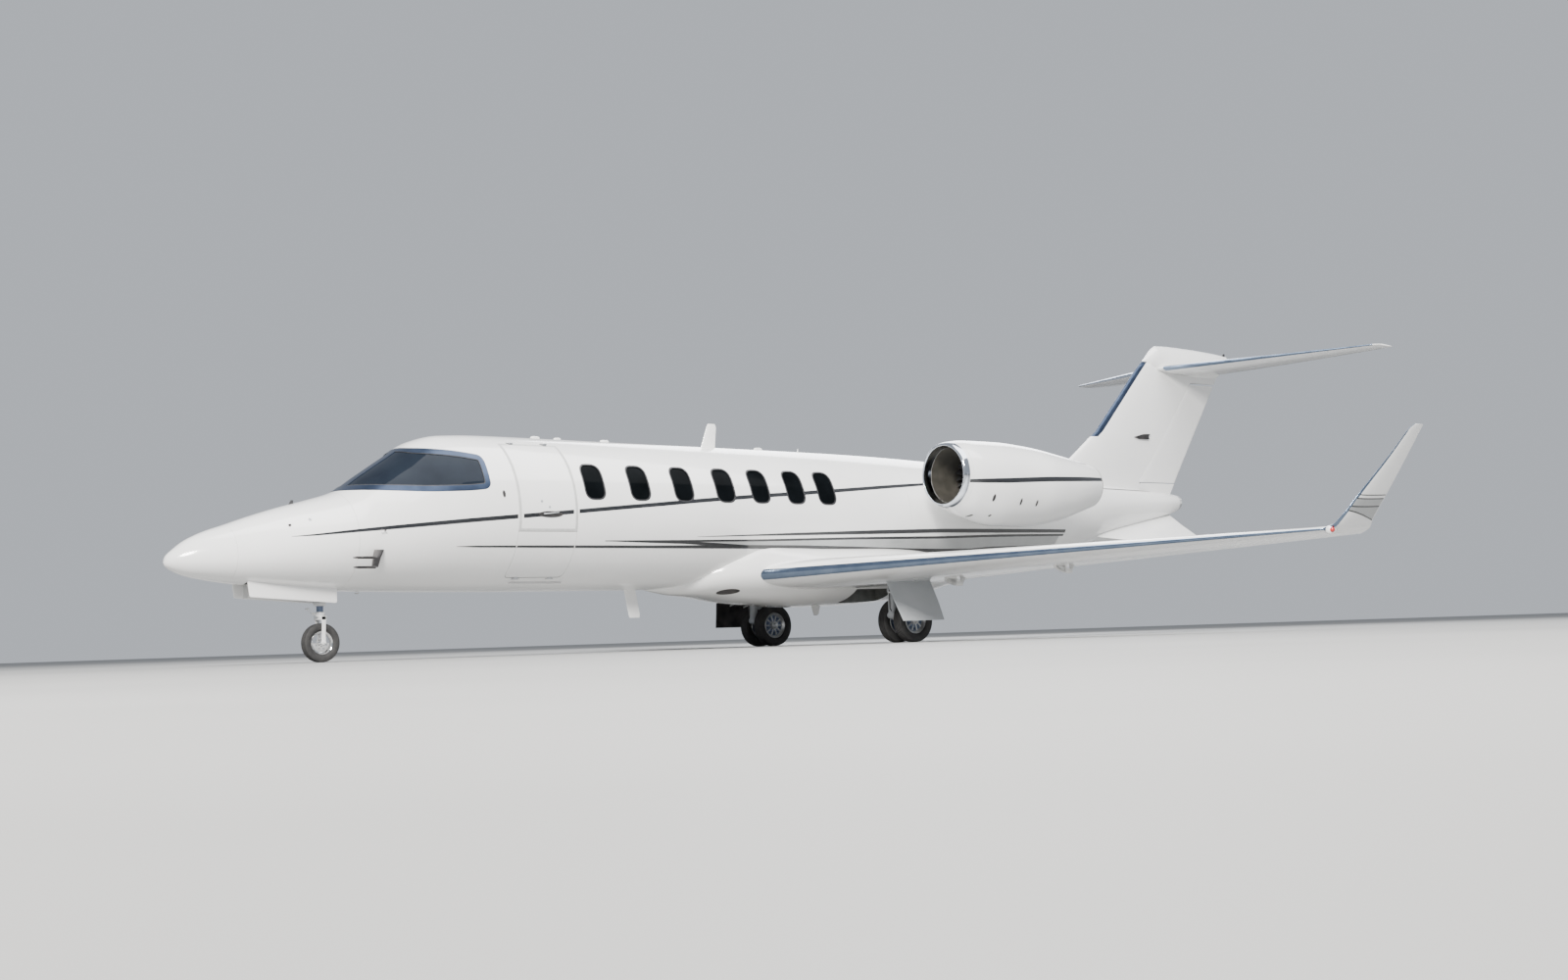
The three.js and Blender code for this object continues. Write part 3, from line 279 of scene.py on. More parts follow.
def addFixed(name, bm, material, slot, *nodes):
    # A finished piece that moves with no joint.
    dress(meshObject(name, bm, material), "airframe", slot, *nodes)


def loftInto(bm, places, section, segments, capStart=True, capEnd=True):
    # A circle is set to the first section, then extruded and set to each of the next ones.
    turn = bm.verts.layers.float.get("turn") or bm.verts.layers.float.new("turn")
    ring = bmesh.ops.create_circle(bm, segments=segments, radius=1)["verts"]
    for v in ring:
        v[turn] = math.atan2(v.co.y, v.co.x)
        v.co = section(places[0], v[turn])
    edges = list({e for v in ring for e in v.link_edges})
    if capStart:
        bmesh.ops.contextual_create(bm, geom=edges)
    for place in places[1:]:
        grown = bmesh.ops.extrude_edge_only(bm, edges=edges)["geom"]
        fresh = [g for g in grown if isinstance(g, bmesh.types.BMVert)]
        freshSet = set(fresh)
        edges = [g for g in grown if isinstance(g, bmesh.types.BMEdge)
                 and g.verts[0] in freshSet and g.verts[1] in freshSet]
        for v in fresh:
            v.co = section(place, v[turn])
    if capEnd:
        bmesh.ops.contextual_create(bm, geom=edges)
    return bm


def loft(name, places, section, segments, material, capStart=True, capEnd=True):
    return meshObject(name, loftInto(bmesh.new(), places, section, segments, capStart, capEnd), material)


def repaint(obj, index, chosen):
    # Gives the chosen faces another of the piece's materials.
    for polygon in obj.data.polygons:
        if chosen(polygon):
            polygon.material_index = index


def inRoom(co, room):
    # A room is a range of stations, of distances from the middle and of heights.
    place = (stationOf(co), abs(co.y) * 1000, co.z * 1000)
    return all(low - 1 < value < high + 1 for value, (low, high) in zip(place, room))


def prismInto(bm, outline, low, high, place):
    # An outline is filled and extruded from low to high; place turns (u, v, depth) into a point.
    verts = [bm.verts.new(place(u, v, low)) for u, v in outline]
    face = bm.faces.new(verts)
    grown = bmesh.ops.extrude_face_region(bm, geom=[face])["geom"]
    shift = place(0, 0, high) - place(0, 0, low)
    bmesh.ops.translate(bm, verts=[g for g in grown if isinstance(g, bmesh.types.BMVert)], vec=shift)
    return bm


def sidePlace(u, v, depth):
    return placed(u, depth, v)


def planPlace(u, v, depth):
    return placed(u, v, depth)


def cutterOf(name, *builders):
    bm = bmesh.new()
    for build in builders:
        build(bm)
    bmesh.ops.recalc_face_normals(bm, faces=bm.faces)
    mesh = bpy.data.meshes.new(name)
    bm.to_mesh(mesh)
    bm.free()
    obj = bpy.data.objects.new(name, mesh)
    bpy.context.collection.objects.link(obj)
    return obj


def boxInto(bm, x, y, z):
    made = bmesh.ops.create_cube(bm, size=1)["verts"]
    bmesh.ops.scale(bm, verts=made, vec=[(high - low) * 0.001 for low, high in (x, y, z)])
    bmesh.ops.translate(bm, verts=made, vec=placed(*((low + high) / 2 for low, high in (x, y, z))))


def settle(obj):
    # Applies the modifiers of a piece.
    shown = obj.evaluated_get(bpy.context.evaluated_depsgraph_get())
    mesh = bpy.data.meshes.new_from_object(shown)
    obj.modifiers.clear()
    old = obj.data
    obj.data = mesh
    bpy.data.meshes.remove(old)
    smoothByAngle(mesh)
    return obj


def carve(obj, cutter, operation="DIFFERENCE", keepCutter=False):
    cut = obj.modifiers.new("cut", "BOOLEAN")
    cut.operation = operation
    cut.object = cutter
    cut.solver = "EXACT"
    settle(obj)
    if not keepCutter:
        bpy.data.objects.remove(cutter)
    return obj


def skinNormals(obj, reference, reach=0.0006, agree=0.8):
    # Faces that lie on the reference's surface take its smooth normals; all others stay flat.
    base = reference.data
    base.calc_loop_triangles()
    triangles = [tuple(t.vertices) for t in base.loop_triangles]
    points = [v.co.copy() for v in base.vertices]
    normals = [v.normal.copy() for v in base.vertices]
    tree = BVHTree.FromPolygons(points, triangles)
    mesh = obj.data
    result = []
    for polygon in mesh.polygons:
        polygon.use_smooth = True
        for loop in polygon.loop_indices:
            co = mesh.vertices[mesh.loops[loop].vertex_index].co
            hit, flat, index, distance = tree.find_nearest(co)
            chosen = polygon.normal
            if hit is not None and distance < reach and flat.dot(polygon.normal) > agree:
                corners = triangles[index]
                weights = barycentric(hit, *(points[v] for v in corners))
                chosen = sum((normals[v] * weight for v, weight in zip(corners, weights)), Vector())
                chosen.normalize()
            result.append(tuple(chosen))
    mesh.normals_split_custom_set(result)
    return obj


def carveSmooth(obj, *cutters):
    # Carves with each cutter. What is left of the old surface keeps its smooth normals.
    whole = obj.copy()
    whole.data = obj.data.copy()
    bpy.context.collection.objects.link(whole)
    for cutter in cutters:
        carve(obj, cutter, keepCutter=cutter is bodyWhole)
    skinNormals(obj, whole)
    bpy.data.objects.remove(whole)


def barycentric(p, a, b, c):
    u, v, w = b - a, c - a, p - a
    uu, uv, vv, wu, wv = u.dot(u), u.dot(v), v.dot(v), w.dot(u), w.dot(v)
    under = uu * vv - uv * uv
    if abs(under) < 1e-18:
        return (1, 0, 0)
    second = (vv * wu - uv * wv) / under
    third = (uu * wv - uv * wu) / under
    return (1 - second - third, second, third)


def barInto(bm, start, end, radius, endRadius=None, segments=24):
    # A round bar between two points given as station, y and z in millimetres.
    a, b = placed(*start), placed(*end)
    along = b - a
    made = bmesh.ops.create_cone(bm, cap_ends=True, segments=segments, radius1=radius * 0.001,
                                 radius2=(radius if endRadius is None else endRadius) * 0.001,
                                 depth=along.length)["verts"]
    turn = Vector((0, 0, 1)).rotation_difference(along.normalized()).to_matrix()
    bmesh.ops.rotate(bm, verts=made, cent=(0, 0, 0), matrix=turn)
    bmesh.ops.translate(bm, verts=made, vec=(a + b) / 2)


def softenEdges(bm, width, segments=2, limit=0.6):
    chosen = [e for e in bm.edges if e.is_manifold and e.calc_face_angle(0) > limit]
    if chosen:
        bmesh.ops.bevel(bm, geom=chosen, offset=width * 0.001, segments=segments, affect="EDGES",
                        profile=0.5, material=-1, clamp_overlap=True)


def spunInto(bm, profile, centre, axis, steps):
    # A profile of (radius, offset along the axle) is spun about an axle through centre.
    along = Vector(axis).normalized()
    out = Vector((0, 0, 1)) if abs(along.z) < 0.9 else Vector((1, 0, 0))
    middle = placed(*centre)
    verts = [bm.verts.new(middle + out * (r * 0.001) + along * (a * 0.001)) for r, a in profile]
    edges = [bm.edges.new(pair) for pair in zip(verts, verts[1:])]
    bmesh.ops.spin(bm, geom=verts + edges, cent=middle, axis=along, angle=math.tau, steps=steps,
                   use_merge=True)
    return bm


def addSpun(name, profile, centre, axis, steps, material, body, slot, *nodes):
    spun = spunInto(bmesh.new(), profile, centre, axis, steps)
    dress(meshObject(name, spun, material), body, slot, *nodes)


def roundedPolygon(points, radius, steps=5):
    # Each corner is replaced by a short curve that starts and ends a given distance from it.
    result = []
    for i, corner in enumerate(points):
        before, after = Vector(points[i - 1]), Vector(points[(i + 1) % len(points)])
        corner = Vector(corner)
        reach = radius[i] if isinstance(radius, (list, tuple)) else radius
        start = corner + (before - corner).normalized() * min(reach, (before - corner).length * 0.45)
        end = corner + (after - corner).normalized() * min(reach, (after - corner).length * 0.45)
        for step in range(steps + 1):
            t = step / steps
            point = start * (1 - t) ** 2 + corner * 2 * t * (1 - t) + end * t ** 2
            result.append((point.x, point.y))
    return result


def roundedBox(left, right, low, high, radius, steps=5):
    return roundedPolygon([(left, low), (right, low), (right, high), (left, high)], radius, steps)


def patch(name, surface, counts, lift, thick, material, centre):
    # A thin piece over part of a surface: a grid is set on it, lifted off it and thickened.
    bm = bmesh.new()
    bmesh.ops.create_grid(bm, x_segments=counts[0], y_segments=counts[1], size=0.5)
    for v in bm.verts:
        v.co = surface(v.co.x + 0.5, v.co.y + 0.5)
    bm.normal_update()
    middle = sum((v.co for v in bm.verts), Vector()) / len(bm.verts)
    outward = sum(v.normal.dot(v.co - centre(v.co)) for v in bm.verts)
    if outward < 0:
        bmesh.ops.reverse_faces(bm, faces=bm.faces)
        bm.normal_update()
    for v in bm.verts:
        v.co += v.normal * lift * 0.001
    bmesh.ops.solidify(bm, geom=bm.faces[:], thickness=thick * 0.001)
    return meshObject(name, bm, material)


# Fuselage. Stations and heights in millimetres: station, half width, top, bottom, widest height.
fuselage = {
    "rows": [
        [0, 4, 1122, 1110, 1116], [25, 58, 1188, 1070, 1126], [100, 122, 1254, 1024, 1134],
        [240, 198, 1352, 971, 1142], [460, 284, 1450, 925, 1153], [700, 356, 1525, 890, 1174],
        [1000, 436, 1621, 857, 1206], [1350, 520, 1720, 826, 1249], [1700, 598, 1806, 802, 1297],
        [2030, 664, 1900, 786, 1350], [2350, 720, 2098, 777, 1404], [2690, 774, 2308, 771, 1462],
        [3000, 816, 2488, 765, 1522], [3350, 848, 2568, 761, 1578], [3800, 868, 2584, 756, 1622],
        [4300, 875, 2580, 752, 1645], [6500, 875, 2546, 748, 1640], [9000, 875, 2508, 742, 1622],
        [10000, 866, 2482, 763, 1622], [10900, 836, 2443, 832, 1640], [11800, 770, 2390, 937, 1675],
        [12800, 655, 2324, 1089, 1734], [13800, 512, 2248, 1275, 1800], [14700, 368, 2170, 1462, 1858],
        [15500, 240, 2105, 1640, 1900], [16100, 150, 2066, 1790, 1935], [16215, 110, 2050, 1835, 1942],
    ],
    "radomeEnd": 690, "noseEnd": 1990, "cabinEnd": 10000, "tailEnd": 16215,
    "wall": 60, "seamHalf": 1.0, "segments": 96,
    "noseBay": ((880, 1940), (-165, 165), (600, 1150)),
}
bodyAt = smoothTable(fuselage["rows"], 0.5)


def bodySection(grow=0.0):
    def at(station, turn):
        half, top, bottom, middle = bodyAt(station)
        reach = top - middle if math.sin(turn) > 0 else middle - bottom
        return placed(station, math.cos(turn) * (half + grow), middle + math.sin(turn) * (reach + grow))
    return at


def bodyCentre(co):
    # A point inside the fuselage abreast of co.
    return Vector((co.x, 0, bodyAt(stationOf(co))[3] * 0.001))


def bodyPlaces(start, end):
    places = [start]
    while places[-1] < end:
        here = places[-1]
        step = 12 if here < 150 else 30 if here < 800 else 45 if here < 3700 else 120
        places.append(min(end, here + step))
    if len(places) > 2 and places[-1] - places[-2] < 6:
        places.pop(-2)
    return places


def bodyLoft(name, start, end, grow=0.0, material="whitePaint"):
    return loft(name, bodyPlaces(start, end), bodySection(grow), fuselage["segments"], material)


def bodyWall(name, start, end, thick, grow=0.0, material=("whitePaint", "lining")):
    # An open tube thickened inwards; its inner faces take the second material.
    bm = loftInto(bmesh.new(), bodyPlaces(start, end), bodySection(grow), fuselage["segments"], False, False)
    bmesh.ops.recalc_face_normals(bm, faces=bm.faces)
    bm.normal_update()
    first = bm.faces[0]
    out = first.normal.dot(first.calc_center_median() - bodyCentre(first.calc_center_median()))
    if out < 0:
        bmesh.ops.reverse_faces(bm, faces=bm.faces)
    bmesh.ops.solidify(bm, geom=bm.faces[:], thickness=thick * 0.001)
    obj = meshObject(name, bm, material)
    if len(obj.data.materials) > 1:
        repaint(obj, 1, lambda polygon: polygon.normal.dot(polygon.center - bodyCentre(polygon.center)) < 0)
    return obj


def skinPoint(station, z, side):
    half, top, bottom, middle = bodyAt(station)
    reach = top - middle if z > middle else middle - bottom
    share = min(1.0, abs(z - middle) / reach)
    return placed(station, side * half * math.sqrt(max(0.0, 1 - share * share)), z)


bodyWhole = bodyLoft("bodyReference", 0, fuselage["tailEnd"])
gap = fuselage["seamHalf"]
radome = bodyLoft("radome", 0, fuselage["radomeEnd"] - gap)
skinNormals(radome, bodyWhole)
dress(radome, "airframe", "white_paint", "radome")

noseSection = bodyLoft("noseSection", fuselage["radomeEnd"] + gap, fuselage["noseEnd"] - gap)
carve(noseSection, cutterOf("bayCutter", lambda bm: boxInto(bm, *fuselage["noseBay"])))
noseSection.data.materials.append(finishes["cavity"])


def onBayWall(polygon):
    c = polygon.center
    bayX, bayY, bayZ = fuselage["noseBay"]
    gaps = [abs(abs(c.y) * 1000 - bayY[1]), abs(c.z * 1000 - bayZ[1]), *(abs(stationOf(c) - x) for x in bayX)]
    return inRoom(c, fuselage["noseBay"]) and min(gaps) < 2


repaint(noseSection, 1, onBayWall)
skinNormals(noseSection, bodyWhole)
dress(noseSection, "airframe", "white_paint", "nose_section")

tailSection = bodyLoft("tailSection", fuselage["cabinEnd"] + gap, fuselage["tailEnd"])
skinNormals(tailSection, bodyWhole)
dress(tailSection, "airframe", "white_paint", "tail_section")

# Openings in the cabin: windshield, doorway and windows
windows = {
    "stations": {"left": [5010, 5665, 6315, 6955, 7505, 8075, 8585],
                 "right": [4355, 5010, 5665, 6315, 6955, 7505, 8075, 8585]},
    "width": 285, "height": 423, "corner": 115, "middle": 2009, "dropPerMetre": 6,
    "rim": 9, "rimProud": 1.6, "paneDepth": 10, "paneThick": 14,
}
windshield = {
    "outline": [(1700, 1930), (2455, 1881), (2850, 1865), (3331, 1878), (3545, 1900), (3600, 1950),
                (3604, 2255), (3570, 2308), (3277, 2357), (2870, 2398), (2790, 2440), (2600, 2640),
                (1700, 2400)],
    "rounding": [5, 80, 100, 100, 40, 40, 50, 40, 100, 30, 60, 5, 5],
    "rear": 3700, "frame": 64, "frameProud": 2.5, "post": 74, "gasket": 9, "paneDepth": 5, "paneThick": 14,
}
door = {"front": 3930, "back": 4735, "split": 1419, "bottom": 902, "top": -430, "gap": 2.5, "corner": 60,
        "splitCorner": 10, "doorwayGap": 5, "thick": 55,
        "hingeStations": (4100, 4570), "upperPin": (-426.5, 2469), "lowerPin": (-486, 888)}
farOut = 1300


def windowOutline(station, shrink):
    middle = windows["middle"] - (station - windows["stations"]["left"][0]) * windows["dropPerMetre"] / 1000
    w, h = windows["width"] / 2 - shrink, windows["height"] / 2 - shrink
    return roundedBox(station - w, station + w, middle - h, middle + h, windows["corner"] - shrink, 7)


def insetOutline(points, distance):
    # The outline drawn in by a distance; its points run anticlockwise.
    result = []
    for i, point in enumerate(points):
        a = (Vector(point) - Vector(points[i - 1])).normalized()
        b = (Vector(points[(i + 1) % len(points)]) - Vector(point)).normalized()
        left = Vector((-a.y, a.x))
        right = Vector((-b.y, b.x))
        moved = Vector(point) + (left + right) * (distance / (1 + left.dot(right)))
        result.append((moved.x, moved.y))
    return result


def windowCutters(name, shrink, only=None):
    def build(bm):
        for suffix, side in sides.items():
            if only and suffix != only:
                continue
            low, high = sorted((side * 300, side * farOut))
            for station in windows["stations"][suffix]:
                prismInto(bm, windowOutline(station, shrink), low, high, sidePlace)
    return cutterOf(name, build)


def windshieldCutter(name, shrink, halves=None):
    outline = roundedPolygon(insetOutline(windshield["outline"], shrink), windshield["rounding"])

    def build(bm):
        if halves is None:
            prismInto(bm, outline, -farOut, farOut, sidePlace)
        for side in halves or ():
            low, high = sorted((side * windshield["post"], side * farOut))
            prismInto(bm, outline, low, high, sidePlace)
    return cutterOf(name, build)


def leafOutline(leaf, grow):
    low, high = door["split"] + door["gap"], 2700
    rounding = [door["splitCorner"]] * 2 + [door["corner"]] * 2
    if leaf == "lower":
        low, high = door["bottom"] + 3, door["split"] - door["gap"]
        rounding.reverse()
    left, right = door["front"] + door["gap"] - grow, door["back"] - door["gap"] + grow
    return roundedBox(left, right, low - grow, high + grow, rounding)


def doorCutter(leaf, grow):
    inner = door["top"] + grow if leaf == "upper" else -100
    return cutterOf("leafCut", lambda bm: prismInto(bm, leafOutline(leaf, grow), -farOut, inner, sidePlace))


# Cabin shell, door leaves, windshield and windows
cabin = bodyWall("cabinShell", fuselage["noseEnd"] + gap, fuselage["cabinEnd"] - gap, fuselage["wall"])
carve(cabin, windshieldCutter("windshieldCut", 0))
for leaf in ("upper", "lower"):
    carve(cabin, doorCutter(leaf, door["doorwayGap"]))
carve(cabin, windowCutters("windowCut", 0))
skinNormals(cabin, bodyWhole)
dress(cabin, "airframe", "white_paint", "cabin_shell")
for name, start, end in (("frontBulkhead", 2036, 2080), ("rearBulkhead", 9700, 9750)):
    bulkhead = loft(name, [start, end], bodySection(-fuselage["wall"] - 4), 96, "lining")
    dress(bulkhead, "airframe", "carpet")
print("cabin shell carved")


def hingeInto(bm, pin, reach, spans, radius, knuckle):
    # Lugs on a hinge's pin. Their plates reach from it by two distances across and two of height.
    y, z = pin
    left, right, down, up = reach
    for station in door["hingeStations"]:
        for low, high in spans:
            barInto(bm, (station + low, y, z), (station + high, y, z), radius, segments=20)
            boxInto(bm, (station + low, station + high), (y + left, y + right), (z + down, z + up))
        if knuckle:
            barInto(bm, (station - 45, y, z), (station + 45, y, z), 4, segments=16)


doorHinges = bmesh.new()
hingeInto(doorHinges, door["upperPin"], (2.5, 22, -22, 6), ((-45, -25), (25, 45)), 7.5, True)
hingeInto(doorHinges, door["lowerPin"], (0, 40, -7, 3), ((-45, -25), (25, 45)), 7.5, True)
softenEdges(doorHinges, 1.5)
addFixed("doorHingeLugs", doorHinges, "satinMetal", "white_paint")
leafBodies = {"upper": ("upper_door", door["upperPin"], (-26, -1.5, -30, 3)),
              "lower": ("lower_door", door["lowerPin"], (-8, 5, -2, 36))}
for leaf, (body, pin, reach) in leafBodies.items():
    piece = bodyWall(f"{leaf}DoorLeaf", door["front"] - 60, door["back"] + 60, door["thick"])
    carve(piece, doorCutter(leaf, 0), "INTERSECT")
    skinNormals(piece, bodyWhole)
    dress(piece, body, "white_paint", f"door_{leaf}")
    eyes = bmesh.new()
    hingeInto(eyes, pin, reach, ((-24, 24),), 9, False)
    softenEdges(eyes, 1.5)
    dress(meshObject(f"{leaf}DoorEyes", eyes, "satinMetal"), body, "white_paint")
print("doors ready")

# Windshield: metal frame with a centre post, black gaskets and two tinted panes
glazed = (fuselage["noseEnd"] + gap, windshield["rear"])
frameSkin = bodyWall("windshieldFrame", *glazed, 42, windshield["frameProud"], ("frameMetal", "blackPlastic"))
carve(frameSkin, windshieldCutter("frameOuter", 0.5), "INTERSECT")
for side in sides.values():
    carve(frameSkin, windshieldCutter("frameInner", windshield["frame"], [side]))
softNormals = bodyLoft("frameReference", fuselage["noseEnd"] - 60, windshield["rear"] + 100,
                       windshield["frameProud"])
skinNormals(frameSkin, softNormals)
bpy.data.objects.remove(softNormals)
dress(frameSkin, "airframe", "polished_metal", "windshield_frame")
for suffix, side in sides.items():
    gasket = bodyWall(f"windshieldGasket{suffix.title()}", *glazed, 30, 0.6, "blackPlastic")
    carve(gasket, windshieldCutter("gasketOuter", windshield["frame"] - 2, [side]), "INTERSECT")
    carve(gasket, windshieldCutter("gasketInner", windshield["frame"] + windshield["gasket"], [side]))
    dress(gasket, "airframe", "panel_plastic")
    pane = bodyWall(f"windshieldPane{suffix.title()}", *glazed, windshield["paneThick"],
                    -windshield["paneDepth"], "windshieldGlass")
    carve(pane, windshieldCutter("paneCut", windshield["frame"] + 0.5, [side]), "INTERSECT")
    dress(pane, "airframe", "window_glass", f"windshield_{suffix}")
print("windshield ready")

for suffix, side in sides.items():
    span = (windows["stations"][suffix][0] - 260, windows["stations"][suffix][-1] + 260)
    rims = bodyWall(f"windowRims{suffix.title()}", *span, 26, windows["rimProud"], "blackPlastic")
    carve(rims, windowCutters("rimOuter", -windows["rim"], suffix), "INTERSECT")
    carve(rims, windowCutters("rimInner", windows["rim"], suffix))
    dress(rims, "airframe", "white_paint")
    panes = bodyWall(f"cabinPanes{suffix.title()}", *span, windows["paneThick"], -windows["paneDepth"],
                     "cabinGlass")
    carve(panes, windowCutters("paneCut", 0.5, suffix), "INTERSECT")
    dress(panes, "airframe", "window_glass", f"cabin_windows_{suffix}")
print("windows ready")

# Painted bands. Rows: station, middle height, width. A silver field lies between the lower lines.
bands = {
    "thick": 1.2, "step": 60, "doorEdge": (58, 18), "lineEdge": (9, 5),
    "lifts": {"upper": 1.5, "lower": 2.2, "branch": 2.2, "thin": 2.2, "middle": 1.5, "silver": 1.3},
    "upper": [[1260, 1372, 3], [1514, 1388, 18], [1961, 1429, 32], [2414, 1468, 41], [2860, 1505, 45],
              [3304, 1542, 47], [3745, 1576, 47], [4192, 1610, 47], [4641, 1645, 47], [5085, 1682, 47],
              [5526, 1718, 47], [5977, 1754, 47], [6426, 1792, 47], [6870, 1826, 47], [7320, 1859, 47],
              [7752, 1889, 47], [8206, 1918, 47], [9109, 1984, 45], [9549, 2017, 43], [10005, 2049, 40],
              [10412, 2076, 32]],
    "lower": [[3150, 1249, 3], [3400, 1249, 18], [4292, 1248, 26], [5271, 1246, 30], [5774, 1244, 31],
              [7300, 1244, 44], [8209, 1236, 52], [9202, 1217, 52], [10188, 1197, 50], [10676, 1194, 50],
              [11167, 1198, 50], [11644, 1228, 50], [12614, 1255, 48], [13086, 1270, 42]],
    "branch": [[5150, 1312, 3], [5757, 1306, 26], [6343, 1296, 34], [6874, 1269, 36], [7378, 1246, 30]],
    "thin": [[5150, 1313, 8], [6337, 1314, 22], [7552, 1323, 26], [9037, 1350, 29], [10568, 1367, 32],
             [11743, 1399, 32], [13223, 1425, 28]],
    "middle": [[6500, 1364, 3], [7400, 1386, 18], [8009, 1400, 30], [9485, 1432, 50], [10547, 1454, 52],
               [11722, 1462, 52], [13235, 1478, 44]],
    "silver": [[5400, 1311, 5], [6343, 1305, 22], [7378, 1281, 74], [8253, 1281, 92], [9552, 1282, 132],
               [10642, 1281, 150], [11431, 1301, 150], [13124, 1340, 142]],
}


def bandPatch(name, rows, start, end, side, material, lift):
    at = lineTable(rows)

    def surface(u, v):
        station = start + (end - start) * u
        middle, width = at(station)
        return skinPoint(station, middle + (v - 0.5) * width, side)
    tall = 6 if max(row[2] for row in rows) > 60 else 2
    return patch(name, surface, (max(2, round((end - start) / bands["step"])), tall), lift, bands["thick"],
                 material, bodyCentre)


def addBand(key, lift):
    # One line on both sides of the body. On the port side it is parted at the door's edges.
    rows = bands[key]
    material = "silverPaint" if key == "silver" else "stripePaint"
    start, end = rows[0][0], rows[-1][0]
    for suffix, side in sides.items():
        parts = [(start, end, "airframe")]
        if suffix == "left" and start < door["front"] < end:
            edge, margin = bands["doorEdge" if key == "upper" else "lineEdge"]
            leafBody = "upper_door" if key == "upper" else "lower_door"
            parts = [(start, door["front"] - margin, "airframe"),
                     (door["front"] + edge, door["back"] - edge, leafBody),
                     (door["back"] + margin, end, "airframe")]
        for i, (low, high, body) in enumerate(parts):
            piece = bandPatch(f"{suffix}{key.title()}Band{i + 1}", rows, low, high, side, material, lift)
            if key == "upper" and high > 6000:
                carve(piece, windowCutters("bandWindows", -2, suffix))
            dress(piece, body, "panel_plastic")


for key, lift in bands["lifts"].items():
    addBand(key, lift)
seam = bodyWall("upperDoorSeam", door["front"] - 60, door["back"] + 60, 0.9, 0.8, "seamPaint")
carve(seam, doorCutter("upper", -1), "INTERSECT")
carve(seam, doorCutter("upper", -30))
dress(seam, "upper_door", "white_paint")
print("bands ready")


# Small fittings: blades, probes, lamps and vents
def bladeInto(bm, rows, y=0):
    # Rows: height, leading edge, chord, half thickness.
    at = lineTable(rows)

    def section(z, turn):
        leading, chord, half = at(z)
        share, sign = aroundChord(turn)
        return placed(leading + chord * share, y + sign * 2 * half * halfThickness(share), z)
    heights = [row[0] for row in rows]
    return loftInto(bm, spaced(heights[0], heights[-1], 8), section, 28)


blades = {
    "antennaTop": ([[2500, 7216, 232, 13], [2820, 7332, 150, 11], [2843, 7350, 110, 6]], "antenna_top"),
    "antennaBottom": ([[413, 6052, 150, 5], [430, 6040, 172, 11], [790, 5970, 173, 13]], "antenna_bottom"),
    "antennaBelly": ([[386, 9005, 60, 4], [400, 8995, 90, 8], [540, 8955, 170, 12]], None),
}
for name, (rows, node) in blades.items():
    blade = bmesh.new()
    bladeInto(blade, rows)
    piece = meshObject(name, blade, "whitePaint")
    dress(piece, "airframe", "white_paint", *([node] if node else []))
fittings = bmesh.new()
crownPods = ((4660, 150, 30, 22), (4990, 120, 26, 20), (5670, 150, 30, 22), (8070, 160, 34, 24))
for station, length, height, half in crownPods:
    top = bodyAt(station)[1]
    bladeInto(fittings, [[top - 12, station, length, half],
                         [top + height * 0.8, station + 18, length * 0.8, half * 0.8],
                         [top + height, station + 40, length * 0.5, half * 0.4]])
barInto(fittings, (8810, 0, 2495), (8822, 0, 2560), 9, 5, 16)
addFixed("crownAntennas", fittings, "whitePaint", "white_paint")

jackPads = bmesh.new()
jackPlaces = ((2300, 0, 766), (8850, 2150, 778), (8850, -2150, 778))
for station, y, z in jackPlaces:
    spunInto(jackPads, [(0, 14), (16, 12), (26, 4), (28, -4), (0, -4)], (station, y, z), (0, 0, -1), 28)
addFixed("jackPads", jackPads, "satinMetal", "white_paint")

probes = {"mast": ((2205, 695, 1218), (2150, 732, 1130), (2122, 736, 1024)), "tubeTip": 1860,
          "chords": ((124, 15), (106, 13), (84, 10)), "vane": (1270, 1497), "stem": (2262, 1422)}
for suffix, side in sides.items():
    masts = bmesh.new()
    root, knee, foot = ((x, side * y, z) for x, y, z in probes["mast"])
    mastAt = lineTable([[i, *place, *size] for i, (place, size) in
                        enumerate(zip((root, knee, foot), probes["chords"]))])

    def mastSection(place, turn):
        x, y, z, chord, half = mastAt(place)
        return placed(x + math.cos(turn) * chord / 2, y + math.sin(turn) * half, z)

    loftInto(masts, spaced(0, 2, 8), mastSection, 28)
    for x, y, z in (knee, foot):
        barInto(masts, (x + 8, y, z), (probes["tubeTip"] + 60, y, z), 15, 13, 20)
        barInto(masts, (probes["tubeTip"] + 60, y, z), (probes["tubeTip"], y, z), 13, 6, 20)
    stemX, stemZ = probes["stem"]
    stemY = abs(skinPoint(stemX, stemZ, side).y) * 1000
    headY = side * (stemY + 44)
    barInto(masts, (stemX + 13, side * (stemY - 4), stemZ), (stemX + 6, headY + side * 2, stemZ + 12), 7, 5, 14)
    barInto(masts, (stemX + 10, headY, stemZ + 12), (stemX - 62, headY, stemZ + 16), 5, 4, 14)
    station, z = probes["vane"]
    vaneY = abs(skinPoint(station, z, side).y) * 1000
    barInto(masts, (station, side * (vaneY - 4), z), (station, side * (vaneY + 16), z + 4), 15, 12, 20)
    addFixed(f"{suffix}AirProbes", masts, "darkMetal", "gear_metal")
topVane = bmesh.new()
bladeInto(topVane, [[1745, 1470, 64, 5], [1800, 1500, 34, 3]])
addFixed("noseVane", topVane, "blackPlastic", "panel_plastic")


def spot(name, surface, centre, size, body, material, lift=3.0, thick=2.5, corners=9):
    # A small rounded plate on a surface that is given by station and height.
    def point(u, v):
        across, along = u * 2 - 1, v * 2 - 1
        return surface(centre[0] + across * size[0] * math.sqrt(1 - along * along / 2),
                       centre[1] + along * size[1] * math.sqrt(1 - across * across / 2))
    plate = patch(name, point, (corners, corners), lift, thick, material, spotCentre)
    dress(plate, body, "panel_plastic")


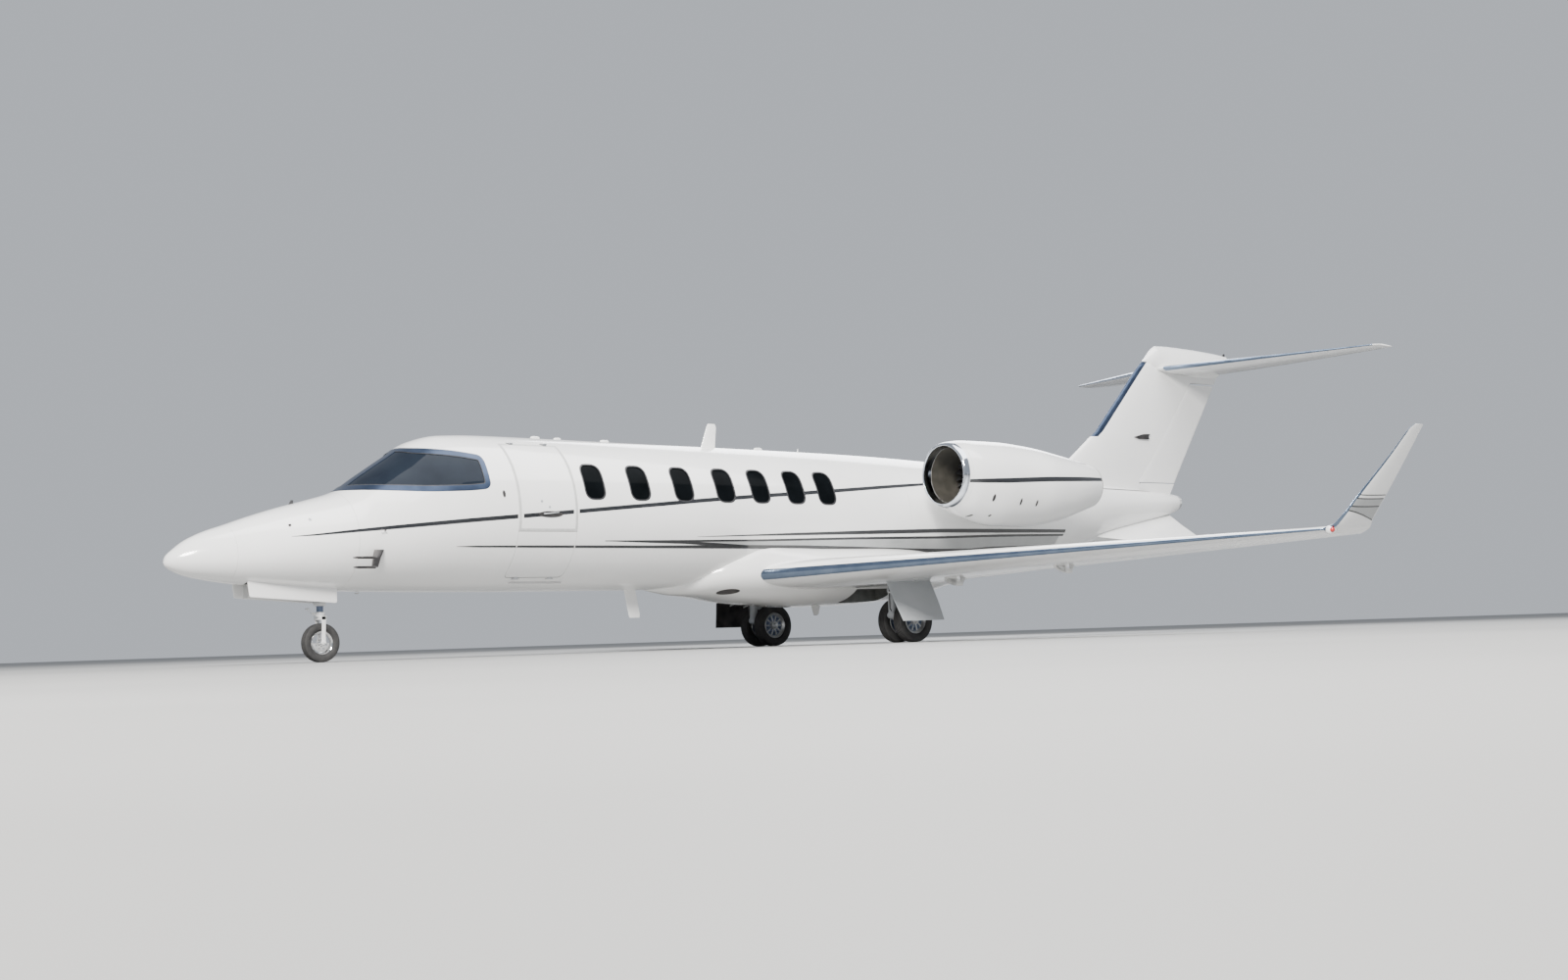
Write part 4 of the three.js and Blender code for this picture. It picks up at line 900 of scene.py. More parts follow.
def spotCentre(co):
    # Abreast of co, well inboard of any skin.
    return Vector((co.x, co.y * 0.3 if abs(co.y) < 0.9 else math.copysign(abs(co.y) - 0.6, co.y), co.z))


def portSkin(station, z):
    return skinPoint(station, z, -1)


doorMarks = [("doorHandlePlate", (4352, 1616), (168, 36), "upper_door", "darkMetal", 4.5),
             ("doorLock", (4240, 1765), (15, 15), "upper_door", "greyPaint", 2.5),
             ("doorCatch", (4342, 1700), (13, 13), "upper_door", "greyPaint", 2.5),
             ("staticOval", (3747, 1846), (19, 42), "airframe", "darkMetal", 2.5),
             ("serviceDisc", (1500, 1560), (16, 16), "airframe", "greyPaint", 2.5)]
for name, place, size, body, material, lift in doorMarks:
    spot(name, portSkin, place, size, body, material, lift)
lever = bmesh.new()
leverY = portSkin(4355, 1624).y * 1000 - 9
barInto(lever, (4252, leverY, 1618), (4462, leverY, 1636), 8, 7, 18)
softenEdges(lever, 2)
dress(meshObject("doorLever", lever, "satinMetal"), "upper_door", "gear_metal")
stripRows = [[4050, 848, 15], [4800, 845, 15]]
dress(bandPatch("doorSillStrip", stripRows, 4065, 4790, -1, "chrome", 5), "airframe", "polished_metal")

# Lamps at the wing tips and the tail
lamps = {"left": "redLens", "right": "greenLens"}
for suffix, side in sides.items():
    addSpun(f"{suffix}TipHousing", [(0, -42), (28, -36), (46, -16), (51, 10), (45, 60), (26, 110), (0, 130)],
            (10518, side * 7150, 1112), (1, 0, 0), 40, "whitePaint", "airframe", "white_paint")
    addSpun(f"{suffix}TipLamp", [(0, 0), (30, 0), (28, 12), (18, 24), (0, 30)], (10512, side * 7188, 1112),
            (-0.62, side * 0.78, 0), 32, lamps[suffix], "airframe", "window_glass")
addSpun("tailLamp", [(0, 0), (82, 0), (74, 14), (46, 24), (0, 28)], (16214, 0, 1941), (1, 0, 0), 40,
        "clearLens", "airframe", "window_glass")
print("fittings ready")

# Belly fairing: station, half width, bottom, top, widest height
fairing = {
    "span": (6240, 11700),
    "rows": [[6240, 40, 756, 860, 800], [6430, 130, 716, 900, 815], [6640, 240, 682, 940, 840],
             [6900, 520, 660, 1090, 900], [7150, 700, 634, 1280, 930], [7576, 850, 570, 1535, 950],
             [8000, 900, 530, 1450, 950], [8600, 960, 498, 1366, 950], [9400, 1010, 512, 1335, 955],
             [10000, 940, 546, 1340, 955], [10600, 780, 622, 1320, 950], [11200, 560, 742, 1120, 940],
             [11700, 340, 850, 1070, 930]],
    "roundness": 0.8,
    "wheelWell": ((9020, 9700), (430, 1200), (400, 700)),
}
fairingAt = smoothTable(fairing["rows"])


def fairingSection(station, turn):
    half, bottom, top, middle = fairingAt(station)
    reach = top - middle if math.sin(turn) > 0 else middle - bottom
    across = math.copysign(abs(math.cos(turn)) ** fairing["roundness"], math.cos(turn))
    return placed(station, across * half, middle + math.sin(turn) * reach)


fairingPiece = loft("bellyFairing", spaced(*fairing["span"], 78), fairingSection, 80,
                    ("whitePaint", "cavity"))


def wellCutter(side):
    wellX, (inner, outer), wellZ = fairing["wheelWell"]
    wellY = sorted((side * inner, side * outer))
    return cutterOf("wellCut", lambda bm: boxInto(bm, wellX, wellY, wellZ))


def onWellWall(polygon):
    c, facing = polygon.center, polygon.normal
    if not inRoom(c, fairing["wheelWell"]) or fairingSection(stationOf(c), -math.pi / 2).z + 0.004 > c.z:
        return False
    return max(abs(facing.x), abs(facing.y), -facing.z) > 0.99


carveSmooth(fairingPiece, bodyWhole, *(wellCutter(side) for side in sides.values()))
repaint(fairingPiece, 1, onWellWall)
dress(fairingPiece, "airframe", "white_paint", "belly_fairing")
print("fairing ready")

# Wings. Rows: distance from the middle, leading edge, chord, height, thickness over chord, chord angle
wing = {
    "rows": [[560, 7350, 3000, 905, 0.135, 2.6], [1000, 7560, 2790, 912, 0.132, 2.8],
             [2700, 8380, 2060, 972, 0.125, 3.2], [4900, 9440, 1370, 1050, 0.115, 3.6],
             [7080, 10490, 690, 1126, 0.105, 4.0]],
    "camber": 0.012, "segments": 64, "step": 110, "span": (560, 7080), "heights": (300, 2000),
    "polishedShare": 0.0155, "polishedSpan": (820, 7080), "bracketPlaces": (1900, 3500),
    "flapSpan": (1075, 4240), "flapShare": 0.74, "flapGap": 9, "flapEnds": (36, 31),
    "aileronSpan": (4320, 6650), "aileronShare": 0.76, "aileronGap": 6, "aileronEnds": (7, 13),
}
wingAt = lineTable(wing["rows"])


def foilPoint(row, share, sign, camber):
    # Station and height of a point on a wing section; sign is 1 on top, -1 below and 0 on the chord line.
    leading, chord, z, thickness, angle = row
    turn = math.radians(angle)
    rise = sign * halfThickness(share) * thickness + camber * 4 * share * (1 - share)
    return (leading + chord * (share * math.cos(turn) + rise * math.sin(turn)),
            z + chord * (rise * math.cos(turn) - share * math.sin(turn)))


def foilSection(at, side, camber):
    def section(place, turn):
        station, z = foilPoint(at(place), *aroundChord(turn), camber)
        return placed(station, side * place, z)
    return section


def hingePoint(at, y, share, camber):
    station, z = foilPoint(at(y), share, 0, camber)
    return Vector((station, y, z))


def surfaceSection(at, side, camber, span, share, trim=0.0):
    # A control surface: a round nose on its hinge line, then the section's own skin to the trailing edge.
    start, end = hingePoint(at, span[0], share, camber), hingePoint(at, span[1], share, camber)

    def section(y, turn):
        hinge = start.lerp(end, (y - span[0]) / (span[1] - span[0]))
        row = at(y)
        local = (hinge.x - row[0]) / (row[1] * math.cos(math.radians(row[4])))
        top, low = foilPoint(row, local, 1, camber), foilPoint(row, local, -1, camber)
        radius = (Vector(top) - Vector(low)).length / 2
        middle = (Vector(top) + Vector(low)) / 2
        if math.cos(turn) > 1e-6:
            here = local + (1 - local) * math.cos(turn)
            station, z = foilPoint(row, here, aroundChord(turn)[1], camber)
            return placed(station, side * y, z)
        return placed(middle.x + math.cos(turn) * (radius - trim), side * y,
                      middle.y + math.sin(turn) * radius)
    return section


def spanPlaces(spec, start, end):
    # Places from start to end at about the spec's step, with each of its rows among them.
    marks = sorted({start, end, *(row[0] for row in spec["rows"] if start < row[0] < end)})
    places = []
    for low, high in zip(marks, marks[1:]):
        places += spaced(low, high, max(1, round((high - low) / spec["step"])))[:-1]
    return places + [end]


def behindCutter(name, at, side, camber, span, share, gap, ends, low, high, reach=2500):
    # The room for a control surface: everything behind its hinge line, with a gap round it.
    start, end = hingePoint(at, span[0], share, camber), hingePoint(at, span[1], share, camber)
    a, b = span[0] - ends[0], span[1] + ends[1]
    outline = [(start.x - gap, side * a), (start.x + reach, side * a), (end.x + reach, side * b),
               (end.x - gap, side * b)]
    return cutterOf(name, lambda bm: prismInto(bm, outline, low, high, planPlace))


def noseCutter(name, at, side, camber, span, share, gap, ends, segments=32):
    start, end = hingePoint(at, span[0], share, camber), hingePoint(at, span[1], share, camber)
    along = (end - start).normalized()
    a, b = start - along * ends[0], end + along * ends[1]
    radii = [halfThickness(share) * row[3] * row[1] + gap for row in (at(y) for y in span)]
    return cutterOf(name, lambda bm: barInto(bm, (a.x, side * a.y, a.z), (b.x, side * b.y, b.z), *radii,
                                             segments=segments))


def shareOf(co, at, side):
    row = at(side * co.y * 1000)
    return (stationOf(co) - row[0]) / row[1]


def polishEdge(obj, at, side, spec):
    # The leading edge takes the piece's second material.
    start, end = spec["polishedSpan"]
    repaint(obj, 1, lambda polygon: start < side * polygon.center.y * 1000 < end
            and shareOf(polygon.center, at, side) < spec["polishedShare"])


flapLine = [hingePoint(wingAt, y, 0.76, wing["camber"]) - Vector((0, 0, drop))
            for y, drop in zip(wing["flapSpan"], (170, 120))]
bracketOutline = [(-330, 50), (-170, -8), (-50, -20), (22, -20), (22, 16), (-30, 40), (-100, 44), (-112, 100),
                  (-330, 100)]
armOutline = [(-15, -13), (13, -15), (120, 88), (112, 125), (22, 125), (-15, 12)]


def flapPlace(y, side):
    # Turns bracket coordinates (aft, up, along the hinge) into points on the flap's hinge line.
    start, end = flapLine
    origin = start.lerp(end, (y - start.y) / (end.y - start.y))
    along = (end - start).normalized()
    aft = Vector((along.y, -along.x, 0)).normalized()
    up = aft.cross(along)

    def place(u, v, depth):
        p = origin + aft * u + up * v + along * depth
        return placed(p.x, side * p.y, p.z)
    return place


for suffix, side in sides.items():
    foil = (wingAt, side, wing["camber"])
    flapRoom = (*foil, wing["flapSpan"], wing["flapShare"])
    aileronRoom = (*foil, wing["aileronSpan"], wing["aileronShare"])
    piece = loft(f"{suffix}Wing", spanPlaces(wing, *wing["span"]), foilSection(*foil), wing["segments"],
                 ("whitePaint", "polishedSkyTint"))
    polishEdge(piece, wingAt, side, wing)
    carveSmooth(piece,
                behindCutter("flapRoom", *flapRoom, wing["flapGap"], wing["flapEnds"], *wing["heights"]),
                behindCutter("aileronRoom", *aileronRoom, 0, wing["aileronEnds"], *wing["heights"]),
                noseCutter("aileronNose", *aileronRoom, wing["aileronGap"], wing["aileronEnds"]), bodyWhole)
    dress(piece, "airframe", "white_paint", f"wing_{suffix}")

    aileron = loft(f"{suffix}Aileron", spanPlaces(wing, *wing["aileronSpan"]),
                   surfaceSection(*aileronRoom), 40, "whitePaint")
    dress(aileron, f"aileron_body_{suffix}", "white_paint", f"aileron_{suffix}")
    flapPiece = loft(f"{suffix}Flap", spanPlaces(wing, *wing["flapSpan"]),
                     surfaceSection(*foil, wing["flapSpan"], wing["flapShare"] + 0.022, 6), 40, "whitePaint")
    dress(flapPiece, f"flap_body_{suffix}", "white_paint", f"flap_{suffix}")
    brackets, arms = bmesh.new(), bmesh.new()
    for y in wing["bracketPlaces"]:
        place = flapPlace(y, side)
        for low, high in ((12, 20), (-20, -12)):
            prismInto(brackets, roundedPolygon(bracketOutline, 18, 3), low, high, place)
        prismInto(brackets, [(-330, 50), (-170, -8), (-130, -14), (-130, 100), (-330, 100)], -20, 20, place)
        prismInto(arms, roundedPolygon(armOutline, 8, 3), -7, 7, place)
    for bm in (brackets, arms):
        softenEdges(bm, 1.5)
    addFixed(f"{suffix}FlapBrackets", brackets, "whitePaint", "white_paint")
    dress(meshObject(f"{suffix}FlapArms", arms, "gearPaint"), f"flap_body_{suffix}", "white_paint")
print("wings ready")

# Winglets. Rows: distance from the middle, leading edge, chord, height, thickness over chord, lean
winglet = {
    "rows": [[7080.3, 10490, 690, 1126, 0.105, 0], [7200, 10505, 668, 1160, 0.100, 24],
             [7275, 10537, 608, 1235, 0.095, 50], [7350, 10604, 556, 1350, 0.090, 64],
             [7425, 10703, 508, 1500, 0.085, 66], [7600, 11025, 335, 1900, 0.080, 66],
             [7735, 11270, 215, 2225, 0.080, 66], [7755, 11340, 150, 2268, 0.080, 66]],
    "edgeShare": 0.06,
}
wingletAt = smoothTable([[i + 1, *row] for i, row in enumerate(winglet["rows"])])


def wingletPoint(place, share, sign, side, grow=0.0):
    y, leading, chord, z, thickness, lean = wingletAt(place)
    tilt = math.radians(lean)
    fade = 1 - min(lean / 50, 1)
    drop = math.radians(4) * fade
    rise = sign * (halfThickness(share) * thickness + grow / chord) + 0.012 * fade * 4 * share * (1 - share)
    return placed(leading + chord * share, side * (y - chord * rise * math.sin(tilt)),
                  z + chord * (rise * math.cos(tilt) - share * math.sin(drop)))


def wingletPlace(z):
    low, high = 1.0, 8.0
    for step in range(30):
        middle = (low + high) / 2
        if wingletAt(middle)[3] < z:
            low = middle
        else:
            high = middle
    return low


def wingletSection(side):
    def section(place, turn):
        return wingletPoint(place, *aroundChord(turn), side)
    return section


def onWingletEdge(polygon):
    leading, chord = wingletAt(wingletPlace(polygon.center.z * 1000))[1:3]
    return (stationOf(polygon.center) - leading) / chord < winglet["edgeShare"]


for suffix, side in sides.items():
    tip = loft(f"{suffix}Winglet", spaced(1, 4, 24) + spaced(4, 8, 20)[1:], wingletSection(side),
               wing["segments"], ("whitePaint", "polishedSkyTint"))
    repaint(tip, 1, onWingletEdge)
    dress(tip, "airframe", "white_paint", f"winglet_{suffix}")
print("winglets ready")

# Engines. Nacelle rows: station, half width, top, bottom; duct rows: station, middle height, radius
engine = {
    "offset": 1500,
    "cowl": [[9985, 388, 2522, 1750], [10005, 410, 2546, 1726], [10070, 428, 2562, 1706],
             [10300, 484, 2584, 1604], [10850, 532, 2578, 1482], [11400, 532, 2534, 1474],
             [12000, 470, 2440, 1545], [12350, 400, 2375, 1640], [12650, 318, 2318, 1724]],
    "duct": [[9900, 2136, 366], [10700, 2118, 358], [12000, 2048, 332], [12700, 2022, 255]],
    "core": [[10610, 96], [10690, 104], [10702, 356], [11300, 344], [11950, 331], [11962, 196], [12080, 182],
             [12200, 150], [12340, 84], [12438, 20]],
    "lip": [(10080, 1), (10045, 0.99), (10018, 0.93), (10000, 0.80), (9991, 0.62), (9987, 0.42), (9986, 0.24),
            (9988, 0.08), (9992, 0), (10000, 0), (10012, 0), (10030, 0), (10052, 0), (10066, 0), (10090, 0)],
    "spinner": [(0, -190), (14, -187), (40, -168), (66, -136), (88, -98), (104, -60), (114, -28), (118, 0),
                (118, 58), (100, 60), (0, 60)],
    "lipEnd": 10120, "polishedEnd": 10066, "nozzleStart": 12634, "end": 12650, "seam": 1.5, "segments": 80,
    "lipReach": 390,
    "fanStation": 10560, "fanRadius": 345, "bladeRoot": 105, "blades": 24, "vanes": 18, "vaneStation": 10668,
}
cowlAt = smoothTable(engine["cowl"])
ductAt = lineTable(engine["duct"])
coreRadius = lineTable(engine["core"])


def cowlPoint(station, turn, side, inward=0.0):
    # Inward 0 lies on the cowl's outer skin; 1 lies on the duct.
    half, top, bottom = cowlAt(station)
    ductMiddle, radius = ductAt(station)
    outerY, outerZ = math.cos(turn) * half, (top + bottom) / 2 + math.sin(turn) * (top - bottom) / 2
    innerY, innerZ = math.cos(turn) * radius, ductMiddle + math.sin(turn) * radius
    y = outerY + (innerY - outerY) * inward
    z = outerZ + (innerZ - outerZ) * inward
    return placed(station, side * (engine["offset"] + y), z)


def ringPiece(name, path, side, material):
    # A closed ring: its path of (station, inward) runs round the section and ends where it starts.
    def section(place, turn):
        station, inward = path[place % len(path)]
        return cowlPoint(station, turn, side, inward)
    return loft(name, list(range(len(path) + 1)), section, engine["segments"], material, False, False)


def fanBlades(bm, side, centre):
    # Twisted blades. Each is made upright on the fan's axis, turned and added.
    root, tip = engine["bladeRoot"], engine["fanRadius"]
    for i in range(engine["blades"]):
        single = bmesh.new()

        def bladeSection(radius, turn):
            share = (radius - root) / (tip - root)
            pitch = math.radians(28 + 34 * share)
            chord, thick = 46 + 18 * share, 7 - 4 * share
            u, v = math.cos(turn) * chord / 2, math.sin(turn) * thick / 2
            x = u * math.cos(pitch) - v * math.sin(pitch) + 10 * share * share
            y = u * math.sin(pitch) + v * math.cos(pitch)
            return Vector((x, side * y, radius)) * 0.001

        loftInto(single, spaced(root, tip, 8), bladeSection, 12)
        turned = Matrix.Rotation(math.tau * i / engine["blades"], 4, "X")
        bmesh.ops.transform(single, matrix=Matrix.Translation(placed(*centre)) @ turned, verts=single.verts)
        held = bpy.data.meshes.new("blade")
        single.to_mesh(held)
        single.free()
        bm.from_mesh(held)
        bpy.data.meshes.remove(held)


for suffix, side in sides.items():
    def reachOf(co, middle):
        # Distance from the duct's middle line.
        return math.hypot(co.y * 1000 - side * engine["offset"], co.z * 1000 - middle)

    def unpolished(polygon):
        c = polygon.center
        return stationOf(c) > engine["polishedEnd"] and reachOf(c, engine["duct"][0][1]) > engine["lipReach"]

    def inDuct(polygon):
        middle, radius = ductAt(stationOf(polygon.center))
        return reachOf(polygon.center, middle) < radius + 4

    def inIntake(polygon):
        return inDuct(polygon) and stationOf(polygon.center) < engine["fanStation"] + 40

    lipBack = engine["lipEnd"] - engine["seam"]
    lipPath = [(lipBack, 1), *engine["lip"], (lipBack, 0)]
    lip = ringPiece(f"{suffix}InletLip", lipPath, side, ("lipMetal", "whitePaint"))
    repaint(lip, 1, unpolished)
    dress(lip, "airframe", "polished_metal", f"inlet_lip_{suffix}")

    outer = [(s, 0) for s in spaced(engine["lipEnd"] + engine["seam"], engine["nozzleStart"], 44)]
    inner = [(s, 1) for s in spaced(engine["nozzleStart"], engine["lipEnd"] + engine["seam"], 30)]
    cowl = ringPiece(f"{suffix}Nacelle", outer + inner, side, ("whitePaint", "darkMetal", "ductShade"))
    repaint(cowl, 1, inDuct)
    # The intake's faces take the darkened liner colour, painted shade inside the duct.
    repaint(cowl, 2, inIntake)
    dress(cowl, "airframe", "white_paint", f"nacelle_{suffix}")
    nozzlePath = [(s, 0.02) for s in spaced(engine["nozzleStart"] + 3, engine["end"], 6)] \
        + [(s, 0.75) for s in spaced(engine["end"] - 4, engine["nozzleStart"] + 3, 6)]
    nozzle = ringPiece(f"{suffix}Nozzle", nozzlePath, side, "hotMetal")
    dress(nozzle, "airframe", "dark_metal")

    def coreSection(station, turn):
        radius = coreRadius(station)[0]
        return placed(station, side * (engine["offset"] + math.cos(turn) * radius),
                      ductAt(station)[0] + math.sin(turn) * radius)

    core = loft(f"{suffix}EngineCore", [row[0] for row in engine["core"]], coreSection, 64, "darkMetal")
    dress(core, "airframe", "dark_metal", f"engine_core_{suffix}")
    vanes = bmesh.new()
    ductMiddle = ductAt(10660)[0]
    for i in range(engine["vanes"]):
        turn = math.tau * i / engine["vanes"]
        inner, outer = ((engine["vaneStation"], side * (engine["offset"] + math.cos(turn) * reach),
                         ductMiddle + math.sin(turn) * reach) for reach in (96, 356))
        barInto(vanes, inner, outer, 9, 9, 12)
    addFixed(f"{suffix}Vanes", vanes, "fanMetal", "dark_metal")

    fan = bmesh.new()
    fanCentre = (engine["fanStation"], side * engine["offset"], ductAt(engine["fanStation"])[0])
    spunInto(fan, engine["spinner"], fanCentre, (1, 0, 0), 48)
    fanBlades(fan, side, fanCentre)
    dress(meshObject(f"{suffix}Fan", fan, "fanMetal"), f"fan_body_{suffix}", "gear_metal", f"fan_{suffix}")

    def pylonSection(y, turn):
        chord = 1850 - (y - 450) / 7
        share, sign = aroundChord(turn)
        return placed(10950 + chord * share, side * y, 2035 + sign * chord * halfThickness(share) * 0.085)

    pylon = loft(f"{suffix}Pylon", spaced(480, 1120, 10), pylonSection, 56, "whitePaint")
    carveSmooth(pylon, bodyWhole)
    dress(pylon, "airframe", "white_paint", f"pylon_{suffix}")
print("engines ready")

# Fin and rudder. Rows: height, leading edge, trailing edge, half thickness
fin = {
    "rows": [[2010, 13150, 16040, 70], [2330, 13560, 16240, 74], [2560, 13930, 16392, 78],
             [2975, 14500, 16667, 78], [3500, 15010, 17015, 74], [3900, 15395, 17275, 68],
             [4050, 15560, 17200, 60]],
    "rudderShare": 0.7, "rudderLow": 2240, "rudderHigh": 3740, "rudderGap": 6, "rudderEnds": (12, 30),
    "polishedLow": 2900, "polishedHigh": 4050, "polishedShare": 0.05, "segments": 96, "step": 80,
    "span": (2010, 4050),
    "cap": [[15580, 14, 4066, 4030], [15640, 34, 4116, 3990], [15720, 60, 4192, 3948],
            [15800, 82, 4258, 3915], [15880, 95, 4296, 3895], [16040, 104, 4299, 3880],
            [16700, 112, 4280, 3850],  [17200, 84, 4248, 3872], [17500, 30, 4216, 4040]],
}
finAt = lineTable(fin["rows"])
capAt = smoothTable(fin["cap"])


def finPoint(z, share, sign):
    leading, trailing, half = finAt(z)
    chord = trailing - leading
    return placed(leading + chord * share, sign * 2 * half * halfThickness(share), z)


def finSection(z, turn):
    return finPoint(z, *aroundChord(turn))


def rudderHinge(z):
    low, high = fin["rudderLow"], fin["rudderHigh"]
    ends = []
    for level in (low, high):
        leading, trailing, half = finAt(level)
        ends.append(leading + (trailing - leading) * fin["rudderShare"])
    return ends[0] + (ends[1] - ends[0]) * (z - low) / (high - low)


def rudderSection(z, turn):
    leading, trailing, half = finAt(z)
    local = (rudderHinge(z) - leading) / (trailing - leading)
    radius = 2 * half * halfThickness(local)
    if math.cos(turn) > 1e-6:
        return finPoint(z, local + (1 - local) * math.cos(turn), aroundChord(turn)[1])
    return placed(rudderHinge(z) + math.cos(turn) * radius, math.sin(turn) * radius, z)


def onFinEdge(polygon):
    c = polygon.center
    leading, trailing, half = finAt(c.z * 1000)
    share = (stationOf(c) - leading) / (trailing - leading)
    return fin["polishedLow"] < c.z * 1000 < fin["polishedHigh"] and share < fin["polishedShare"]


finPiece = loft("fin", spanPlaces(fin, *fin["span"]), finSection, fin["segments"],
                ("whitePaint", "frameMetal"))
repaint(finPiece, 1, onFinEdge)
lowZ, highZ = fin["rudderLow"] - fin["rudderEnds"][0], fin["rudderHigh"] + fin["rudderEnds"][1]
lowX, highX = rudderHinge(lowZ), rudderHinge(highZ)
roomOutline = [(lowX, lowZ), (lowX + 2500, lowZ), (highX + 2500, highZ), (highX, highZ)]
hingeRadii = [2 * finAt(z)[2] * halfThickness(fin["rudderShare"]) + fin["rudderGap"]
              for z in (fin["rudderLow"], fin["rudderHigh"])]
rudderRoom = cutterOf("rudderRoom", lambda bm: prismInto(bm, roomOutline, -400, 400, sidePlace))
hingeEnds = ((lowX, 0, lowZ), (highX, 0, highZ))
rudderNose = cutterOf("rudderNose", lambda bm: barInto(bm, *hingeEnds, *hingeRadii, 32))
carveSmooth(finPiece, rudderRoom, rudderNose, bodyWhole)
dress(finPiece, "airframe", "white_paint", "fin")
rudder = loft("rudder", spanPlaces(fin, fin["rudderLow"], fin["rudderHigh"]), rudderSection, 40, "whitePaint")
dress(rudder, "rudder_body", "white_paint", "rudder")


def capSection(station, turn):
    half, top, bottom = capAt(station)
    return placed(station, math.cos(turn) * half, (top + bottom) / 2 + math.sin(turn) * (top - bottom) / 2)


capStations = spaced(15580, 15880, 20) + spaced(15880, 17500, 34)[1:]
tailCap = loft("tailCap", capStations, capSection, 48, "whitePaint")
dress(tailCap, "airframe", "white_paint")
capKnob = bmesh.new()
bladeInto(capKnob, [[4206, 17400, 74, 9], [4244, 17424, 60, 8], [4262, 17442, 36, 5]])
addFixed("tailCapKnob", capKnob, "blackPlastic", "panel_plastic")

# Tailplane and elevators
tailplane = {
    "rows": [[60, 15820, 1440, 3950, 0.09, 1], [2900, 17270, 400, 4062, 0.085, 3],
             [2960, 17360, 309.6, 4064, 0.08, 3]],
    "step": 90, "span": (60, 2960), "heights": (3600, 4500), "polishedSpan": (130, 2900),
    "elevatorSpan": (150, 2860), "elevatorShare": 0.72, "gap": 6, "ends": (7, 10), "polishedShare": 0.05,
}
tailAt = lineTable(tailplane["rows"])
for suffix, side in sides.items():
    foil = (tailAt, side, 0)
    elevatorRoom = (*foil, tailplane["elevatorSpan"], tailplane["elevatorShare"])
    half = loft(f"{suffix}Tailplane", spanPlaces(tailplane, *tailplane["span"]), foilSection(*foil), 56,
                ("whitePaint", "polishedSkyTint"))
    polishEdge(half, tailAt, side, tailplane)
    carveSmooth(half,
                behindCutter("elevatorRoom", *elevatorRoom, 0, tailplane["ends"], *tailplane["heights"]),
                noseCutter("elevatorNose", *elevatorRoom, tailplane["gap"], tailplane["ends"]))
    dress(half, "airframe", "white_paint", "tailplane")
    elevator = loft(f"{suffix}Elevator", spanPlaces(tailplane, *tailplane["elevatorSpan"]),
                    surfaceSection(*elevatorRoom), 40, "whitePaint")
    dress(elevator, f"elevator_body_{suffix}", "white_paint", f"elevator_{suffix}")

# Slanted fins under the tail: leading edge, chord, distance out, height, half thickness, rise along the chord
deltaRows = [[1, 13490, 2490, 14, 1535, 36, 250], [2, 14250, 1700, 300, 1400, 26, 200],
             [3, 15050, 860, 640, 1300, 12, 107]]
deltaAt = lineTable(deltaRows)
for suffix, side in sides.items():
    def deltaSection(place, turn):
        leading, chord, y, z, half, lift = deltaAt(place)
        share, sign = aroundChord(turn)
        rise = sign * 2 * half * halfThickness(share)
        return placed(leading + chord * share, side * (y + rise * 0.5), z + lift * share + rise)

    delta = loft(f"{suffix}DeltaFin", spaced(1, 3, 16), deltaSection, 56, "whitePaint")
    carveSmooth(delta, bodyWhole)
    dress(delta, "airframe", "white_paint", f"delta_fin_{suffix}")
print("tail ready")


# Marks on the nacelles, fairing, fin and winglets
nacelleMarks = {
    "span": (10068, 12630),
    "stripe": [[10068, 2030, 40], [10300, 2031, 52], [10666, 2037, 60], [11385, 2066, 62], [12200, 2088, 56],
               [12630, 2100, 44]],
    "vents": [(10465, 1815, 20, 46), (10922, 1768, 17, 44), (11213, 1752, 17, 40), (10339, 1606, 17, 12),
              (10553, 1599, 17, 12)],
}
for suffix, side in sides.items():
    def cowlSide(station, z):
        half, top, bottom = cowlAt(station)
        share = min(1, max(-1, (z - (top + bottom) / 2) / ((top - bottom) / 2)))
        return cowlPoint(station, math.asin(share), side)

    stripeAt = lineTable(nacelleMarks["stripe"])
    front, back = nacelleMarks["span"]

    def stripeSurface(u, v):
        station = front + (back - front) * u
        middle, width = stripeAt(station)
        return cowlSide(station, middle + (v - 0.5) * width)

    def seamSurface(u, v):
        return skinPoint(14310 + 1670 * u, 2101 - 6 * u + 12 * v, side)

    seam = patch(f"{suffix}FinSeam", seamSurface, (30, 2), 1.6, 1.2, "darkMetal", spotCentre)
    dress(seam, "airframe", "panel_plastic")
    stripe = patch(f"{suffix}NacelleStripe", stripeSurface, (60, 3), 1.5, 1.2, "stripePaint", spotCentre)
    dress(stripe, "airframe", "panel_plastic")
    for i, (station, z, length, height) in enumerate(nacelleMarks["vents"]):
        spot(f"{suffix}NacelleVent{i + 1}", cowlSide, (station, z), (length, height), "airframe", "darkMetal",
             2, 1.6)

    def fairingSide(station, z):
        half, bottom, top, middle = fairingAt(station)
        share = (middle - z) / (middle - bottom)
        return placed(station, side * half * math.sqrt(1 - share * share) ** fairing["roundness"], z)

    spot(f"{suffix}FairingLamp", fairingSide, (7200, 700), (125, 32), "airframe", "darkMetal", 3, 2.5)
    vane = bmesh.new()
    vaneOutline = [(15240, 2905), (15440, 2952), (15590, 2957), (15548, 2920), (15570, 2878), (15350, 2877)]
    prismInto(vane, roundedPolygon(vaneOutline, 6, 2), *sorted((side * 70, side * 94)), sidePlace)
    softenEdges(vane, 1.5)
    addFixed(f"{suffix}FinVane", vane, "darkMetal", "white_paint")

wingletMarks = {
    "lines": [(1487, 1497), (1447, 1459), (1361, 1375)],
    "silver": (1330, 1225, 1447), "curve": 12, "edges": (0.04, 0.97),
}


